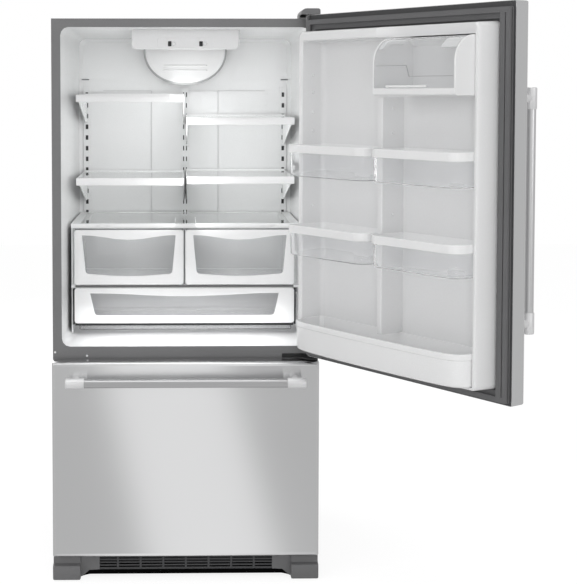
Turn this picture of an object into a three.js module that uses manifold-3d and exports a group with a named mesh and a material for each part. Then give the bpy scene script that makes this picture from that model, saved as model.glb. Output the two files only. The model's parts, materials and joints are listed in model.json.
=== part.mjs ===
// Bottom-freezer refrigerator with its fresh-food door open.
// Millimetres, +Z up, the front faces -Y. The pieces are drawn with X = 0 on the case's
// middle plane and Y = 0 on the case's front flange, and the whole is shifted at the end
// so that the origin lies on the sole of the front-left levelling leg.
import * as THREE from "three";
import { mergeVertices } from "three/addons/utils/BufferGeometryUtils.js";
import Module from "manifold-3d";

const wasm = await Module();
wasm.setup();

// ---- clearances ----
const fit = 0.3; // between pieces that touch or clip together
const slideGap = 0.5; // beside pieces that slide

// ---- case ----
const caseHalf = 414.3;
const caseTop = 1746.5;
const caseFoot = 62; // lower edge of the side panels
const caseDepth = 724;
const skin = 1.2; // sheet steel
const openingHalf = 386; // liner opening, also the inner edge of the steel flange
const fridgeSill = 727;
const fridgeHead = 1720;
const freezerSill = 112;
const freezerHead = 660;
const linerWall = 2.5;
const linerLip = 9;
const fridgeDepth = 610;
const backHalf = 374; // liner half width at its back
const backSill = 740;
const backHead = 1707;
const backChamfer = 12;
const linerCorner = 25;
const freezerDepth = 560;
const bayFront = 430; // front of the machine compartment's hump
const bayTop = 300;

// ---- doors ----
const panDepth = 52;
const gasketDepth = 14;
const rimY = -gasketDepth; // inner plane of both doors' pans when closed
const faceY = rimY - panDepth;
const doorLeft = -412.4;
const doorRight = 411.6;
const doorFoot = 704.5;
const doorTop = 1755;
const panEdge = 11; // rounding of the pans' front edges
const hingeX = 401.6;
const hingeY = -38.2;
const pinRadius = 4;
const openAngle = 124.4; // how far the door stands open, degrees
const drawerHalf = 412.3;
const drawerFoot = 81;
const drawerTop = 689.5;

// ---- door liner, u = distance from the hinge-side edge, v = height above the rim ----
const dikeHeight = 45;
const dikeOuterU = 45;
const dikeInnerU = 60;
const farDikeInnerU = 725;
const farDikeOuterU = 775;
const dikeFoot = 741;
const dikeFootInner = 751.6;
const dikeHead = 1704;
const dikeHeadInner = 1672;
const pocketY = rimY - 2; // floor of the liner between the dikes
const partitionU = [385, 400];
const partitionHead = 1505;
const gallonTop = 839; // rail of the bottom bin

// ---- handles ----
const barRadius = 13.75;
const capRadius = 16;
const capLength = 57;
const postRadius = 12.5;
const postInset = 28; // from a handle's end to its post
const handleY = -120;
const doorHandleX = -372.4;
const doorHandleZ = [879, 1532];
const drawerHandleHalf = 366;
const drawerHandleZ = 636.5;

// ---- shelves and ladders ----
const ladderX = 348;
const ladderHalf = 12;
const ladderZ = [1036, 1536];
const channelDepth = 6;
const channelWall = 1.6;
const slotTop = 1511; // centre of the top slot
const slotPitch = 38;
const slotCount = 13;
const slotHeight = 16;
const sideSlotWidth = 9;
const midSlotWidth = 3.6;
const midColumn = 5; // offset of each column of the middle ladder
const ductProud = 4; // air duct cover's relief on the back wall
const sideRelief = 1.5;
const shelfOuter = 355;
const shelfInner = 3.4;
const shelfFront = 200;
const shelfDeep = 24; // height of the front trim
const shelfTops = { left_upper: 1512, right_upper: 1438, left_lower: 1240, right_lower: 1245 };

// ---- drawers in the fresh-food compartment ----
const rackHalf = 371;
const rackFront = 172;
const rackBack = 600;
const coverZ = [1079, 1094];
const midShelfZ = [885.5, 893.5];
const rackWall = 5;
const drawerFront = 168;
const frontThick = 8;
const crisperZ = [896, 1074];
const crisperX = [-356, -6.4];
const crisperGapX = -3.4; // middle of the gap between the two crispers
const deliHalf = 356;
const deliZ = [770, 885];
const binWall = 2.2;
const binBack = 570;

// ---- base ----
const legX = -392;
const legY = 30;
const legRadius = 18;
const footCoverInner = 321;
const footCoverTop = 76;
const grilleZ = [20, 74];
const rollerRadius = 20;
const axleRadius = 4;
const cheekFoot = 12; // lower edge of the roller cheeks
const rollerY = 640;

// ---- closed solids from three.js shapes ----
const solidOf = (geometry) => {
  const bare = geometry.index ? geometry.toNonIndexed() : geometry.clone();
  bare.deleteAttribute("normal");
  bare.deleteAttribute("uv");
  const joined = mergeVertices(bare, 1e-4);
  const corners = joined.index.array;
  const place = joined.attributes.position;
  const [p, q, r] = [new THREE.Vector3(), new THREE.Vector3(), new THREE.Vector3()];
  const tris = [];
  let volume = 0;
  for (let i = 0; i < corners.length; i += 3) {
    const [a, b, c] = [corners[i], corners[i + 1], corners[i + 2]];
    if (a === b || b === c || c === a) continue;
    tris.push(a, b, c);
    p.fromBufferAttribute(place, a);
    volume += p.dot(q.fromBufferAttribute(place, b).cross(r.fromBufferAttribute(place, c)));
  }
  if (volume < 0) tris.reverse(); // faces outward
  return new wasm.Manifold(
    new wasm.Mesh({
      numProp: 3,
      vertProperties: Float32Array.from(joined.attributes.position.array),
      triVerts: Uint32Array.from(tris),
    }),
  );
};

const block = ([x0, x1], [y0, y1], [z0, z1]) =>
  solidOf(
    new THREE.BoxGeometry(x1 - x0, y1 - y0, z1 - z0).translate(
      (x0 + x1) / 2,
      (y0 + y1) / 2,
      (z0 + z1) / 2,
    ),
  );

const points = (pairs) => pairs.map(([a, b]) => new THREE.Vector2(a, b));

// A rectangle with rounded corners, counter-clockwise from the lower-left corner.
const roundRect = ([a0, a1], [b0, b1], radius, steps = 3) => {
  const radii = Array.isArray(radius) ? radius : [radius, radius, radius, radius];
  const corner = [
    [a0, b0, 1, 1, Math.PI],
    [a1, b0, -1, 1, 1.5 * Math.PI],
    [a1, b1, -1, -1, 0],
    [a0, b1, 1, -1, 0.5 * Math.PI],
  ];
  return corner.flatMap(([a, b, da, db, start], i) => {
    const r = Math.max(radii[i], 0.01);
    return Array.from({ length: steps + 1 }, (_, k) => {
      const turn = start + (k / steps) * (Math.PI / 2);
      return new THREE.Vector2(a + da * r + r * Math.cos(turn), b + db * r + r * Math.sin(turn));
    });
  });
};

const extrude = (outline, depth, holes, bevel) => {
  const shape = new THREE.Shape(outline);
  for (const hole of holes) shape.holes.push(new THREE.Path(hole));
  return new THREE.ExtrudeGeometry(shape, {
    depth: depth - 2 * bevel,
    bevelEnabled: bevel > 0,
    bevelThickness: bevel,
    bevelSize: bevel,
    bevelOffset: -bevel,
    bevelSegments: 1,
  }).translate(0, 0, bevel);
};

const plateX = (outline, [x0, x1], holes = [], bevel = 0) => {
  const turn = new THREE.Matrix4().makeBasis(
    new THREE.Vector3(0, 1, 0),
    new THREE.Vector3(0, 0, 1),
    new THREE.Vector3(1, 0, 0),
  );
  const geometry = extrude(outline, x1 - x0, holes, bevel).applyMatrix4(turn);
  return solidOf(geometry.translate(x0, 0, 0));
};
const plateY = (outline, [y0, y1], holes = [], bevel = 0) =>
  solidOf(extrude(outline, y1 - y0, holes, bevel).rotateX(Math.PI / 2).translate(0, y1, 0));
const plateZ = (outline, [z0, z1], holes = [], bevel = 0) =>
  solidOf(extrude(outline, z1 - z0, holes, bevel).translate(0, 0, z0));

// A solid through matching outlines, each at its own place along the axis.
const loft = (axis, sections) => {
  const count = sections[0][1].length;
  const place = {
    x: (p, t) => [t, p.x, p.y],
    y: (p, t) => [p.x, t, p.y],
    z: (p, t) => [p.x, p.y, t],
  }[axis];
  const rising = sections.at(-1)[0] > sections[0][0];
  const flip = (axis === "y") === rising;
  const vertices = sections.flatMap(([t, outline]) => outline.flatMap((p) => place(p, t)));
  const index = [];
  const face = (a, b, c) => (flip ? index.push(a, c, b) : index.push(a, b, c));
  for (let s = 0; s + 1 < sections.length; s++) {
    for (let k = 0; k < count; k++) {
      const [a, b] = [s * count + k, s * count + ((k + 1) % count)];
      face(a, b, b + count);
      face(a, b + count, a + count);
    }
  }
  for (const [s, outward] of [[0, false], [sections.length - 1, true]]) {
    const outline = sections[s][1];
    for (const [a, b, c] of THREE.ShapeUtils.triangulateShape(outline, [])) {
      const [p, q, r] = [outline[a], outline[b], outline[c]];
      const area = (q.x - p.x) * (r.y - p.y) - (q.y - p.y) * (r.x - p.x);
      const base = s * count;
      if (area > 0 === outward) face(base + a, base + b, base + c);
      else face(base + a, base + c, base + b);
    }
  }
  const geometry = new THREE.BufferGeometry();
  geometry.setAttribute("position", new THREE.Float32BufferAttribute(vertices, 3));
  geometry.setIndex(index);
  return solidOf(geometry);
};

// A slab in the X-Z plane with its front edges rounded over.
const softSlab = ([x0, x1], [z0, z1], back, front, edge, corner, steps = 4) => {
  const inset = (d) => roundRect([x0 + d, x1 - d], [z0 + d, z1 - d], Math.max(corner - d, 0.8));
  const sections = [[back, inset(0)]];
  for (let i = 0; i <= steps; i++) {
    const turn = ((i / steps) * Math.PI) / 2;
    sections.push([front + edge * (1 - Math.sin(turn)), inset(edge * (1 - Math.cos(turn)))]);
  }
  return loft("y", sections);
};

// A frame between two rounded rectangles, in the X-Z plane.
const ring = ([x0, x1], [z0, z1], width, corner, y) =>
  plateY(roundRect([x0, x1], [z0, z1], corner), y, [
    roundRect([x0 + width, x1 - width], [z0 + width, z1 - width], Math.max(corner - width, 2)),
  ]);

// A turned piece: profile of [radius, place] pairs along the axis from (x, y, z).
const turned = (profile, axis, [x, y, z], segments = 18) => {
  const geometry = new THREE.LatheGeometry(points(profile), segments);
  if (axis === "x") geometry.rotateZ(-Math.PI / 2);
  if (axis === "z") geometry.rotateX(Math.PI / 2);
  return solidOf(geometry.translate(x, y, z));
};
const rod = (radius, [t0, t1], axis, at, segments = 16) =>
  turned([[0, t0], [radius, t0], [radius, t1], [0, t1]], axis, at, segments);

const join = (...solids) => solids.reduce((a, b) => a.add(b));
const cut = (solid, ...tools) => tools.reduce((a, b) => a.subtract(b), solid);

// ---- materials ----
const paints = {
  steel: [0xb9bbbd, 0.34, 0.9],
  casePaint: [0x77797c, 0.5, 0.25],
  darkPaint: [0x2f3133, 0.6, 0.2],
  blackPlate: [0x17181a, 0.5, 0.3],
  liner: [0xe9eaeb, 0.45, 0],
  trim: [0xf4f5f5, 0.4, 0],
  ladder: [0xe2e3e4, 0.4, 0.2],
  clear: [0xdfe6ea, 0.1, 0],
  glass: [0xd4e4e0, 0.05, 0],
  gasket: [0x66686a, 0.75, 0],
  handle: [0xc6c8ca, 0.28, 0.95],
  cover: [0x6e7072, 0.5, 0.1],
  grille: [0x3a3c3e, 0.7, 0],
  foam: [0xe6d9a6, 0.9, 0],
  rail: [0xc9cbcd, 0.35, 0.8],
  window: [0x101213, 0.2, 0],
  rubber: [0x232425, 0.85, 0],
};

const refrigerator = new THREE.Group();
const door = new THREE.Group(); // turned about the hinge pin
refrigerator.add(door);

const piece = (group, name, solid, paint) => {
  const { vertProperties, triVerts, numProp } = solid.getMesh();
  const geometry = new THREE.BufferGeometry();
  const flat = [];
  for (const v of triVerts) flat.push(...vertProperties.slice(v * numProp, v * numProp + 3));
  geometry.setAttribute("position", new THREE.Float32BufferAttribute(flat, 3));
  geometry.computeVertexNormals();
  const [color, roughness, metalness] = paints[paint];
  const material = new THREE.MeshStandardMaterial({ color, roughness, metalness });
  const mesh = new THREE.Mesh(geometry, material);
  mesh.name = name;
  group.add(mesh);
};

// ---- case: sheet wrapper with the front flange and the rail between the doors ----
const wrapperShell = cut(
  block([-caseHalf, caseHalf], [0, caseDepth], [caseFoot, caseTop]),
  block([-caseHalf + skin, caseHalf - skin], [skin, caseDepth + 1], [caseFoot - 1, caseTop - skin]),
);
const fridgeHole = plateY(
  roundRect([-openingHalf, openingHalf], [fridgeSill, fridgeHead], linerCorner),
  [-1, skin + 1],
);
const freezerHole = plateY(
  roundRect([-openingHalf, openingHalf], [freezerSill, freezerHead], linerCorner),
  [-1, skin + 1],
);
const returnFlange = 14; // folded back along the panels' rear edges
const rearFlanges = join(
  block([-caseHalf + skin, -caseHalf + returnFlange], [caseDepth - skin, caseDepth], [caseFoot, caseTop]),
  block([caseHalf - returnFlange, caseHalf - skin], [caseDepth - skin, caseDepth], [caseFoot, caseTop]),
  block([-caseHalf + skin, caseHalf - skin], [caseDepth - skin, caseDepth], [caseTop - returnFlange, caseTop]),
);
const wrapperBody = cut(wrapperShell, fridgeHole, freezerHole).add(
  cut(rearFlanges, block([-400, 400], [0, caseDepth + 1], [caseFoot - 1, caseTop - returnFlange])),
);
piece(refrigerator, "cabinet_wrapper", wrapperBody, "casePaint");

// ---- liners ----
const fridgeShape = (grow, front) => {
  const at = (y, extra) => {
    const k = y / fridgeDepth;
    const half = openingHalf + (backHalf - openingHalf) * k + grow - extra;
    const low = fridgeSill + (backSill - fridgeSill) * k - grow + extra;
    const high = fridgeHead + (backHead - fridgeHead) * k + grow - extra;
    return roundRect([-half, half], [low, high], linerCorner);
  };
  return loft("y", [
    [front, at(front, 0)],
    [fridgeDepth - backChamfer, at(fridgeDepth - backChamfer, 0)],
    [fridgeDepth + grow, at(fridgeDepth + grow, backChamfer)],
  ]);
};
const lipRing = (sill, head) =>
  ring(
    [-openingHalf - linerLip, openingHalf + linerLip],
    [sill - linerLip, head + linerLip],
    linerLip,
    linerCorner + linerLip,
    [skin + fit, skin + fit + linerWall],
  );
const linerFront = skin + fit;
const panelY = [fridgeDepth - 1, fridgeDepth + 1];
const duct = (x, z, proud, corner) =>
  plateY(roundRect(x, z, corner), [fridgeDepth - proud, fridgeDepth + 1]);
const fridgeTub = cut(join(fridgeShape(linerWall, linerFront), lipRing(fridgeSill, fridgeHead)), fridgeShape(0, 0));
piece(
  refrigerator,
  "fridge_liner",
  join(
    fridgeTub,
    duct([-118, 116], [1100, 1524], ductProud, 10),
    duct([-292, -122], [1100, 1560], sideRelief, 8),
    duct([120, 290], [1100, 1560], sideRelief, 8),
  ),
  "liner",
);

const freezerProfile = (grow, front) =>
  points([
    [front, freezerSill - grow],
    [bayFront + grow * 0, freezerSill - grow],
    [bayFront, freezerSill - grow],
    [bayFront + 28, bayTop - grow],
    [freezerDepth + grow, bayTop - grow],
    [freezerDepth + grow, freezerHead + grow],
    [front, freezerHead + grow],
  ].filter((_, i) => i !== 1));
const freezerOuter = plateX(freezerProfile(linerWall, linerFront), [
  -openingHalf - linerWall,
  openingHalf + linerWall,
]);
const freezerHollow = plateX(freezerProfile(0, -1), [-openingHalf, openingHalf]);
// Moulded ledges carry the freezer drawer's runners along both side walls.
const ledgeZ = [362, 372];
const ledgeInner = 375;
const ledges = join(
  block([ledgeInner, openingHalf + 1], [20, 545], ledgeZ),
  block([-openingHalf - 1, -ledgeInner], [20, 545], ledgeZ),
);
piece(
  refrigerator,
  "freezer_liner",
  cut(join(freezerOuter, lipRing(freezerSill, freezerHead)), freezerHollow).add(ledges),
  "liner",
);

// ---- foam between the wrapper and the liners ----
const foamBody = cut(
  block(
    [-caseHalf + skin + fit, caseHalf - skin - fit],
    [skin + 2 * fit, caseDepth - skin - fit],
    [caseFoot, caseTop - skin - fit],
  ),
  fridgeShape(linerWall + fit, 0),
  ring(
    [-openingHalf - linerLip - fit, openingHalf + linerLip + fit],
    [fridgeSill - linerLip - fit, fridgeHead + linerLip + fit],
    linerLip + 2,
    linerCorner + linerLip,
    [0, skin + 2 * fit + linerWall],
  ),
  plateX(freezerProfile(linerWall + fit, 0), [
    -openingHalf - linerWall - fit,
    openingHalf + linerWall + fit,
  ]),
  ring(
    [-openingHalf - linerLip - fit, openingHalf + linerLip + fit],
    [freezerSill - linerLip - fit, freezerHead + linerLip + fit],
    linerLip + 2,
    linerCorner + linerLip,
    [0, skin + 2 * fit + linerWall],
  ),
  block([-caseHalf, caseHalf], [bayFront + 60, caseDepth + 1], [caseFoot - 1, bayTop - 40]),
);
piece(refrigerator, "cabinet_foam", foamBody, "foam");

// ---- back panel with its louvres and the two wall spacers ----
const louvres = [];
for (let row = 0; row < 6; row++) {
  for (let column = 0; column < 4; column++) {
    const x = -300 + column * 160;
    const z = 96 + row * 24;
    louvres.push(block([x, x + 120], [caseDepth - 5, caseDepth + 5], [z, z + 8]));
  }
}
const backY = [caseDepth + fit, caseDepth + fit + skin];
piece(
  refrigerator,
  "back_panel",
  join(
    cut(block([-caseHalf + 2, caseHalf - 2], backY, [caseFoot + 2, caseTop - 2]), ...louvres),
    block([-250, -210], [backY[1] - 0.2, 737], [1500, 1540]),
    block([210, 250], [backY[1] - 0.2, 737], [1500, 1540]),
  ),
  "casePaint",
);

// ---- hinges ----
const hingePlateTop = doorTop + 6;
piece(
  refrigerator,
  "top_hinge",
  join(
    block([356, 406], [6, 72], [caseTop + fit, caseTop + fit + 3]),
    block([372, 406], [2, 9], [caseTop + fit, hingePlateTop]),
    plateZ(roundRect([386, 409], [-48, 9], [10, 10, 1, 1]), [hingePlateTop - 4, hingePlateTop]),
    rod(pinRadius, [doorTop - 22, hingePlateTop - 1], "z", [hingeX, hingeY, 0]),
  ),
  "rail",
);
const hoodTop = 1775;
const hoodOuter = plateY(
  roundRect([352, 411.5], [caseTop + fit, hoodTop], [0, 0, 7, 18], 5),
  [-54, 80],
);
const hoodHollow = plateY(
  roundRect([354.2, 409.3], [caseTop - 5, hoodTop - 2.2], [0, 0, 5, 16], 5),
  [-51.8, 77.8],
);
piece(
  refrigerator,
  "top_hinge_cover",
  cut(hoodOuter, hoodHollow, block([350, 413], [-55, 1.5], [caseTop - 5, doorTop + 1.5])),
  "cover",
);
const bracketZ = [692, 696];
piece(
  refrigerator,
  "centre_hinge",
  join(
    plateZ(roundRect([301, 411], [-3.6, -fit], 1, 1), [691, 703.5]),
    plateZ(
      points([[330, -3], [384, -48], [400, -51], [409, -44], [411, -30], [411, -1], [330, -1]]),
      bracketZ,
    ),
    rod(9, [bracketZ[1] - 1, doorFoot - fit], "z", [hingeX, hingeY, 0]),
    rod(pinRadius, [bracketZ[1], doorFoot + 20], "z", [hingeX, hingeY, 0]),
  ),
  "blackPlate",
);

// ---- controls and light shield under the fresh-food ceiling ----
const ceilingAt = (y) => fridgeHead + ((backHead - fridgeHead) * y) / fridgeDepth - fit;
const housingY = [112, 296];
const housingFloor = 1655;
const housingAt = (y, half, low) =>
  roundRect([-half, half], [low, ceilingAt(y)], [14, 14, 1, 1], 4);
const keys = { left: -37, right: 63 };
const windows = { left: -49.6, right: 49.6 };
const panelZ = 1673;
const keyRadius = 5;
const windowSize = [11, 16];
let housing = loft("y", [
  [housingY[0], housingAt(housingY[0], 168, housingFloor + 3)],
  [housingY[0] + 4, housingAt(housingY[0] + 4, 171, housingFloor)],
  [housingY[1], housingAt(housingY[1], 160, housingFloor + 18)],
]);
housing = cut(
  housing,
  plateY(roundRect([-88, 88], [1659, 1692], 5), [housingY[0] - 1, housingY[0] + 1.2]),
);
for (const side of ["left", "right"]) {
  const [w, h] = windowSize;
  const [x, z] = [windows[side], panelZ];
  housing = cut(
    housing,
    plateY(roundRect([x - w / 2 - fit, x + w / 2 + fit], [z - h / 2 - fit, z + h / 2 + fit], 2.5), [
      housingY[0] - 1,
      housingY[0] + 2.4,
    ]),
    rod(keyRadius + slideGap, [housingY[0] - 1, housingY[0] + 8], "y", [keys[side], 0, panelZ]),
  );
  piece(
    refrigerator,
    `temperature_key_${side}`,
    turned(
      [[0, -0.6], [keyRadius - 0.8, -0.6], [keyRadius, 0.2], [keyRadius, 5.6], [0, 5.6]],
      "y",
      [keys[side], housingY[0], panelZ],
      20,
    ),
    "trim",
  );
}
piece(refrigerator, "control_housing", housing, "liner");

// A hanging U in front of the lamp, open to the back wall.
const domeY = [318, 596];
const domeOutline = (grow) => {
  const outline = [];
  const half = 139 + grow;
  for (let i = 0; i <= 16; i++) {
    const turn = Math.PI + (i / 16) * Math.PI;
    const bulge = Math.abs(Math.cos(turn)) ** 0.8 * Math.sign(Math.cos(turn));
    const drop = Math.abs(Math.sin(turn)) ** 0.75;
    outline.push(new THREE.Vector2(half * bulge, 1632 - (88 + grow) * drop));
  }
  return [...outline, ...points([[half, ceilingAt(domeY[1])], [-half, ceilingAt(domeY[1])]])];
};
const domeWall = 3;
piece(
  refrigerator,
  "light_shield",
  join(
    cut(
      loft("y", [
        [domeY[0], domeOutline(-7)],
        [domeY[0] + 3, domeOutline(-2)],
        [domeY[0] + 9, domeOutline(0)],
        [domeY[1], domeOutline(0)],
      ]),
      plateY(domeOutline(-domeWall - 5), [domeY[0] + domeWall, domeY[1] + 1]),
    ),
    block([-72, 72], [domeY[0] - 2.5, domeY[0] + 1], [1606, 1610]),
    block([-72, 72], [domeY[0] - 2.5, domeY[0] + 1], [1590, 1594]),
  ),
  "trim",
);

// ---- ladders: slotted channels on the back wall ----
const slotZ = Array.from({ length: slotCount }, (_, i) => slotTop - slotPitch * i);
const ladder = (x, back, columns, width) => {
  const y = [back - channelDepth, back - fit];
  const slots = columns.flatMap((column) =>
    slotZ.map((z) =>
      block(
        [column - width / 2, column + width / 2],
        [y[0] - 1, y[0] + 3],
        [z - slotHeight / 2, z + slotHeight / 2],
      ),
    ),
  );
  return cut(
    block([x - ladderHalf, x + ladderHalf], y, ladderZ),
    block(
      [x - ladderHalf + channelWall, x + ladderHalf - channelWall],
      [y[0] + channelWall, y[1] + 1],
      [ladderZ[0] + channelWall, ladderZ[1] - channelWall],
    ),
    ...slots,
  );
};
const sideBack = fridgeDepth;
const midBack = fridgeDepth - ductProud;
piece(refrigerator, "ladder_left", ladder(-ladderX, sideBack, [-ladderX], sideSlotWidth), "ladder");
piece(refrigerator, "ladder_right", ladder(ladderX, sideBack, [ladderX], sideSlotWidth), "ladder");
piece(
  refrigerator,
  "ladder_centre",
  ladder(0, midBack, [-midColumn, midColumn], midSlotWidth),
  "ladder",
);

// ---- half-width glass shelves on cantilever brackets ----
const glassThick = 4.5;
const bracketThick = 3;
const bracketDrop = 100;
for (const [name, top] of Object.entries(shelfTops)) {
  const side = name.startsWith("left") ? -1 : 1;
  const span = (a, b) => [Math.min(side * a, side * b), Math.max(side * a, side * b)];
  const rearOf = (back) => back - channelDepth - 0.4;
  const seat = [top - 14, top - glassThick - 1.5 - fit];
  const rear = rearOf(midBack);
  const frame = [
    plateX(
      points([
        [shelfFront + 1.5, top],
        [shelfFront, top - 2],
        [shelfFront - 1, top - 12],
        [shelfFront, top - 22],
        [shelfFront + 2, top - shelfDeep],
        [shelfFront + 5, top - shelfDeep],
        [shelfFront + 5, top],
      ]),
      span(shelfInner, shelfOuter),
    ),
    block(span(shelfInner, shelfOuter), [shelfFront + 4, shelfFront + 16], seat),
    block(span(shelfInner, shelfOuter), [rear - 14, rear], seat),
    block(span(shelfInner, shelfOuter), [rear - 5, rear], [seat[0], top + 3]),
  ];
  for (const [x, edge, back] of [
    [midColumn, shelfInner, midBack],
    [ladderX, shelfOuter, sideBack],
  ]) {
    const inward = edge < 100 ? 1 : -1;
    frame.push(
      block(span(edge, edge + inward * 9), [shelfFront + 4, rear], seat),
      block(span(edge, edge + inward * 2.4), [shelfFront + 4, rear], [seat[0], top - 1]),
      plateX(
        points([
          [shelfFront + 10, seat[0] + 1],
          [shelfFront + 10, seat[0] - 2],
          [rearOf(back) - 60, top - bracketDrop],
          [rearOf(back), top - bracketDrop],
          [rearOf(back), seat[0] + 1],
        ]),
        span(x - bracketThick / 2 + (x < 100 ? 0.2 : 0), x + bracketThick / 2),
      ),
    );
    const first = Math.ceil((slotTop - (top - 26)) / slotPitch);
    for (const slot of [first, first + 1]) {
      const z = slotTop - slotPitch * slot;
      frame.push(
        block(
          span(x - 1.1, x + 1.1),
          [rearOf(back) - 1, back - 1.5],
          [z - slotHeight / 2 + 2, z + slotHeight / 2 - 3],
        ),
      );
    }
  }
  piece(refrigerator, `shelf_frame_${name}`, join(...frame), "trim");
  piece(
    refrigerator,
    `shelf_glass_${name}`,
    block(
      span(shelfInner + 2.8, shelfOuter - 2.8),
      [shelfFront + 5.4, rear - 5.4],
      [seat[1] + fit, seat[1] + fit + glassThick],
    ),
    "glass",
  );
}

// ---- rack that carries the crispers and the deli drawer ----
// The side plates stand on the rounded corners between the liner's floor and its walls.
const floorAt = (y) => {
  const k = y / fridgeDepth;
  const across = rackHalf - (openingHalf + (backHalf - openingHalf) * k - linerCorner);
  const rise = linerCorner - Math.sqrt(linerCorner ** 2 - across ** 2);
  return fridgeSill + (backSill - fridgeSill) * k + rise + 0.8;
};
const sidePlate = (x) =>
  plateX(
    points([
      [190, floorAt(190)],
      [rackBack - 12, floorAt(rackBack - 12)],
      [rackBack - 12, coverZ[1] - 1],
      [190, coverZ[1] - 1],
    ]),
    x,
  );
const glassSeat = { x: 342, y: [188, 586] };
const coverHole = { x: 328, y: [204, 572] };
let rack = join(
  plateX(
    points([
      [rackFront + 2, coverZ[1]],
      [rackFront, coverZ[1] - 3],
      [rackFront, coverZ[0] + 3],
      [rackFront + 2, coverZ[0]],
      [rackBack, coverZ[0]],
      [rackBack, coverZ[1]],
    ]),
    [-rackHalf, rackHalf],
  ),
  sidePlate([rackHalf - rackWall, rackHalf]),
  sidePlate([-rackHalf, -rackHalf + rackWall]),
  block([-rackHalf, rackHalf], [rackFront + 4, rackBack - 12], midShelfZ),
  block(
    [crisperGapX - 1.5, crisperGapX + 1.5],
    [rackFront + 18, rackBack - 12],
    [midShelfZ[1] - 1, coverZ[0] + 1],
  ),
  block([rackHalf - 13, rackHalf - 1], [200, rackBack - 12], [861, 867]),
  block([-rackHalf + 1, -rackHalf + 13], [200, rackBack - 12], [861, 867]),
);
rack = cut(
  rack,
  block([-coverHole.x, coverHole.x], coverHole.y, [coverZ[0] - 1, coverZ[1] + 1]),
  block([-glassSeat.x, glassSeat.x], glassSeat.y, [coverZ[1] - 4.5, coverZ[1] + 1]),
);
// The two humidity slides and the deli slide run in short channels of the front edges.
const slideHalf = 9;
const slideTravel = 12;
const slides = {
  humidity_slide_left: [-268, 1086.5],
  humidity_slide_right: [266, 1086.5],
  deli_slide: [263, 889.5],
};
for (const [name, [x, z]] of Object.entries(slides)) {
  const front = name === "deli_slide" ? rackFront + 4 : rackFront;
  rack = cut(
    rack,
    block(
      [x - slideHalf - slideTravel - 2, x + slideHalf + slideTravel + 2],
      [front - 1, front + 4],
      [z - 2, z + 2],
    ),
  );
  piece(
    refrigerator,
    name,
    join(
      block([x - slideHalf, x + slideHalf], [front - 1.5, front + 3.5], [z - 1.5, z + 1.5]),
      plateY(roundRect([x - slideHalf, x + slideHalf], [z - 3, z + 3], 1.5, 2), [
        front - 3,
        front - 0.5,
      ]),
    ),
    "trim",
  );
}
piece(refrigerator, "crisper_rack", rack, "trim");
piece(
  refrigerator,
  "crisper_cover_glass",
  block(
    [-glassSeat.x + fit, glassSeat.x - fit],
    [glassSeat.y[0] + fit, glassSeat.y[1] - fit],
    [coverZ[1] - 4.5 + fit, coverZ[1] - 0.2],
  ),
  "glass",
);

// ---- crispers and deli drawer: clear bins behind white fronts ----
const bin = ([x0, x1], [y0, y1], [z0, z1], draft, corner, wall = binWall) => {
  const at = (d, w) =>
    roundRect([x0 + d + w, x1 - d - w], [y0 + w, y1 - d - w], Math.max(corner - w, 1), 3);
  return cut(
    loft("z", [[z0, at(draft, 0)], [z1, at(0, 0)]]),
    loft("z", [[z0 + wall, at(draft, wall)], [z1, at(0, wall)], [z1 + 1, at(0, wall)]]),
  );
};
const wave = (x0, x1, top, dip, low, taper, sag) => {
  const outline = [];
  const steps = 8;
  for (let i = 0; i <= steps; i++) {
    const k = i / steps;
    const x = x0 + taper + (x1 - x0 - 2 * taper) * k;
    outline.push([x, low - sag * Math.sin(Math.PI * k)]);
  }
  for (let i = 0; i <= steps; i++) {
    const k = i / steps;
    const swell = Math.sin(Math.PI * k) ** 2;
    outline.push([x1 + (x0 - x1) * k, top - dip * swell]);
  }
  return points(outline);
};
const frontY = [drawerFront, drawerFront + frontThick];
const binY = [frontY[1] + fit, binBack];
const crisper = (side) => {
  const flip = ([a, b]) =>
    side === "left" ? [a, b] : [2 * crisperGapX - b, 2 * crisperGapX - a];
  const x = flip(crisperX);
  const [w0, w1] = flip([-328, -36]);
  piece(
    refrigerator,
    `crisper_front_${side}`,
    plateY(
      roundRect(x, crisperZ, 9),
      frontY,
      [wave(w0, w1, 1052, 9, 938, 14, 6)],
      1.6,
    ),
    "trim",
  );
  piece(
    refrigerator,
    `crisper_bin_${side}`,
    bin(flip([-354, -9]), binY, [midShelfZ[1] + fit, 1066], 6, 14),
    "clear",
  );
};
crisper("left");
crisper("right");
piece(
  refrigerator,
  "deli_front",
  plateY(
    roundRect([-deliHalf, deliHalf], deliZ, 9),
    frontY,
    [wave(-292, 292, 863, 3, 801, 16, 1)],
    1.6,
  ),
  "trim",
);
piece(
  refrigerator,
  "deli_bin",
  join(
    bin([-351, 351], binY, [748, 870], 5, 14),
    cut(
      block([-363, 363], [200, binBack - 6], [867 + fit, 870]),
      block([-349.5, 349.5], [190, binBack + 5], [860, 871]),
    ),
  ),
  "clear",
);

// ---- fresh-food door, drawn closed ----
const uToX = (u) => doorRight - u;
const pinHole = (z) => rod(pinRadius + fit, z, "z", [hingeX, hingeY, 0]);
const doorX = [doorLeft, doorRight];
const doorZ = [doorFoot, doorTop];
const grow = ([a, b], d) => [a - d, b + d];
const panShell = (x, z) =>
  cut(
    softSlab(x, z, rimY, faceY, panEdge, 4),
    softSlab(grow(x, -skin), grow(z, -skin), rimY + 1, faceY + skin, panEdge - skin, 3),
  );
piece(
  door,
  "door_panel",
  cut(panShell(doorX, doorZ), pinHole([doorFoot - 5, doorFoot + 5]), pinHole([doorTop - 5, doorTop + 5])),
  "steel",
);

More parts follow.
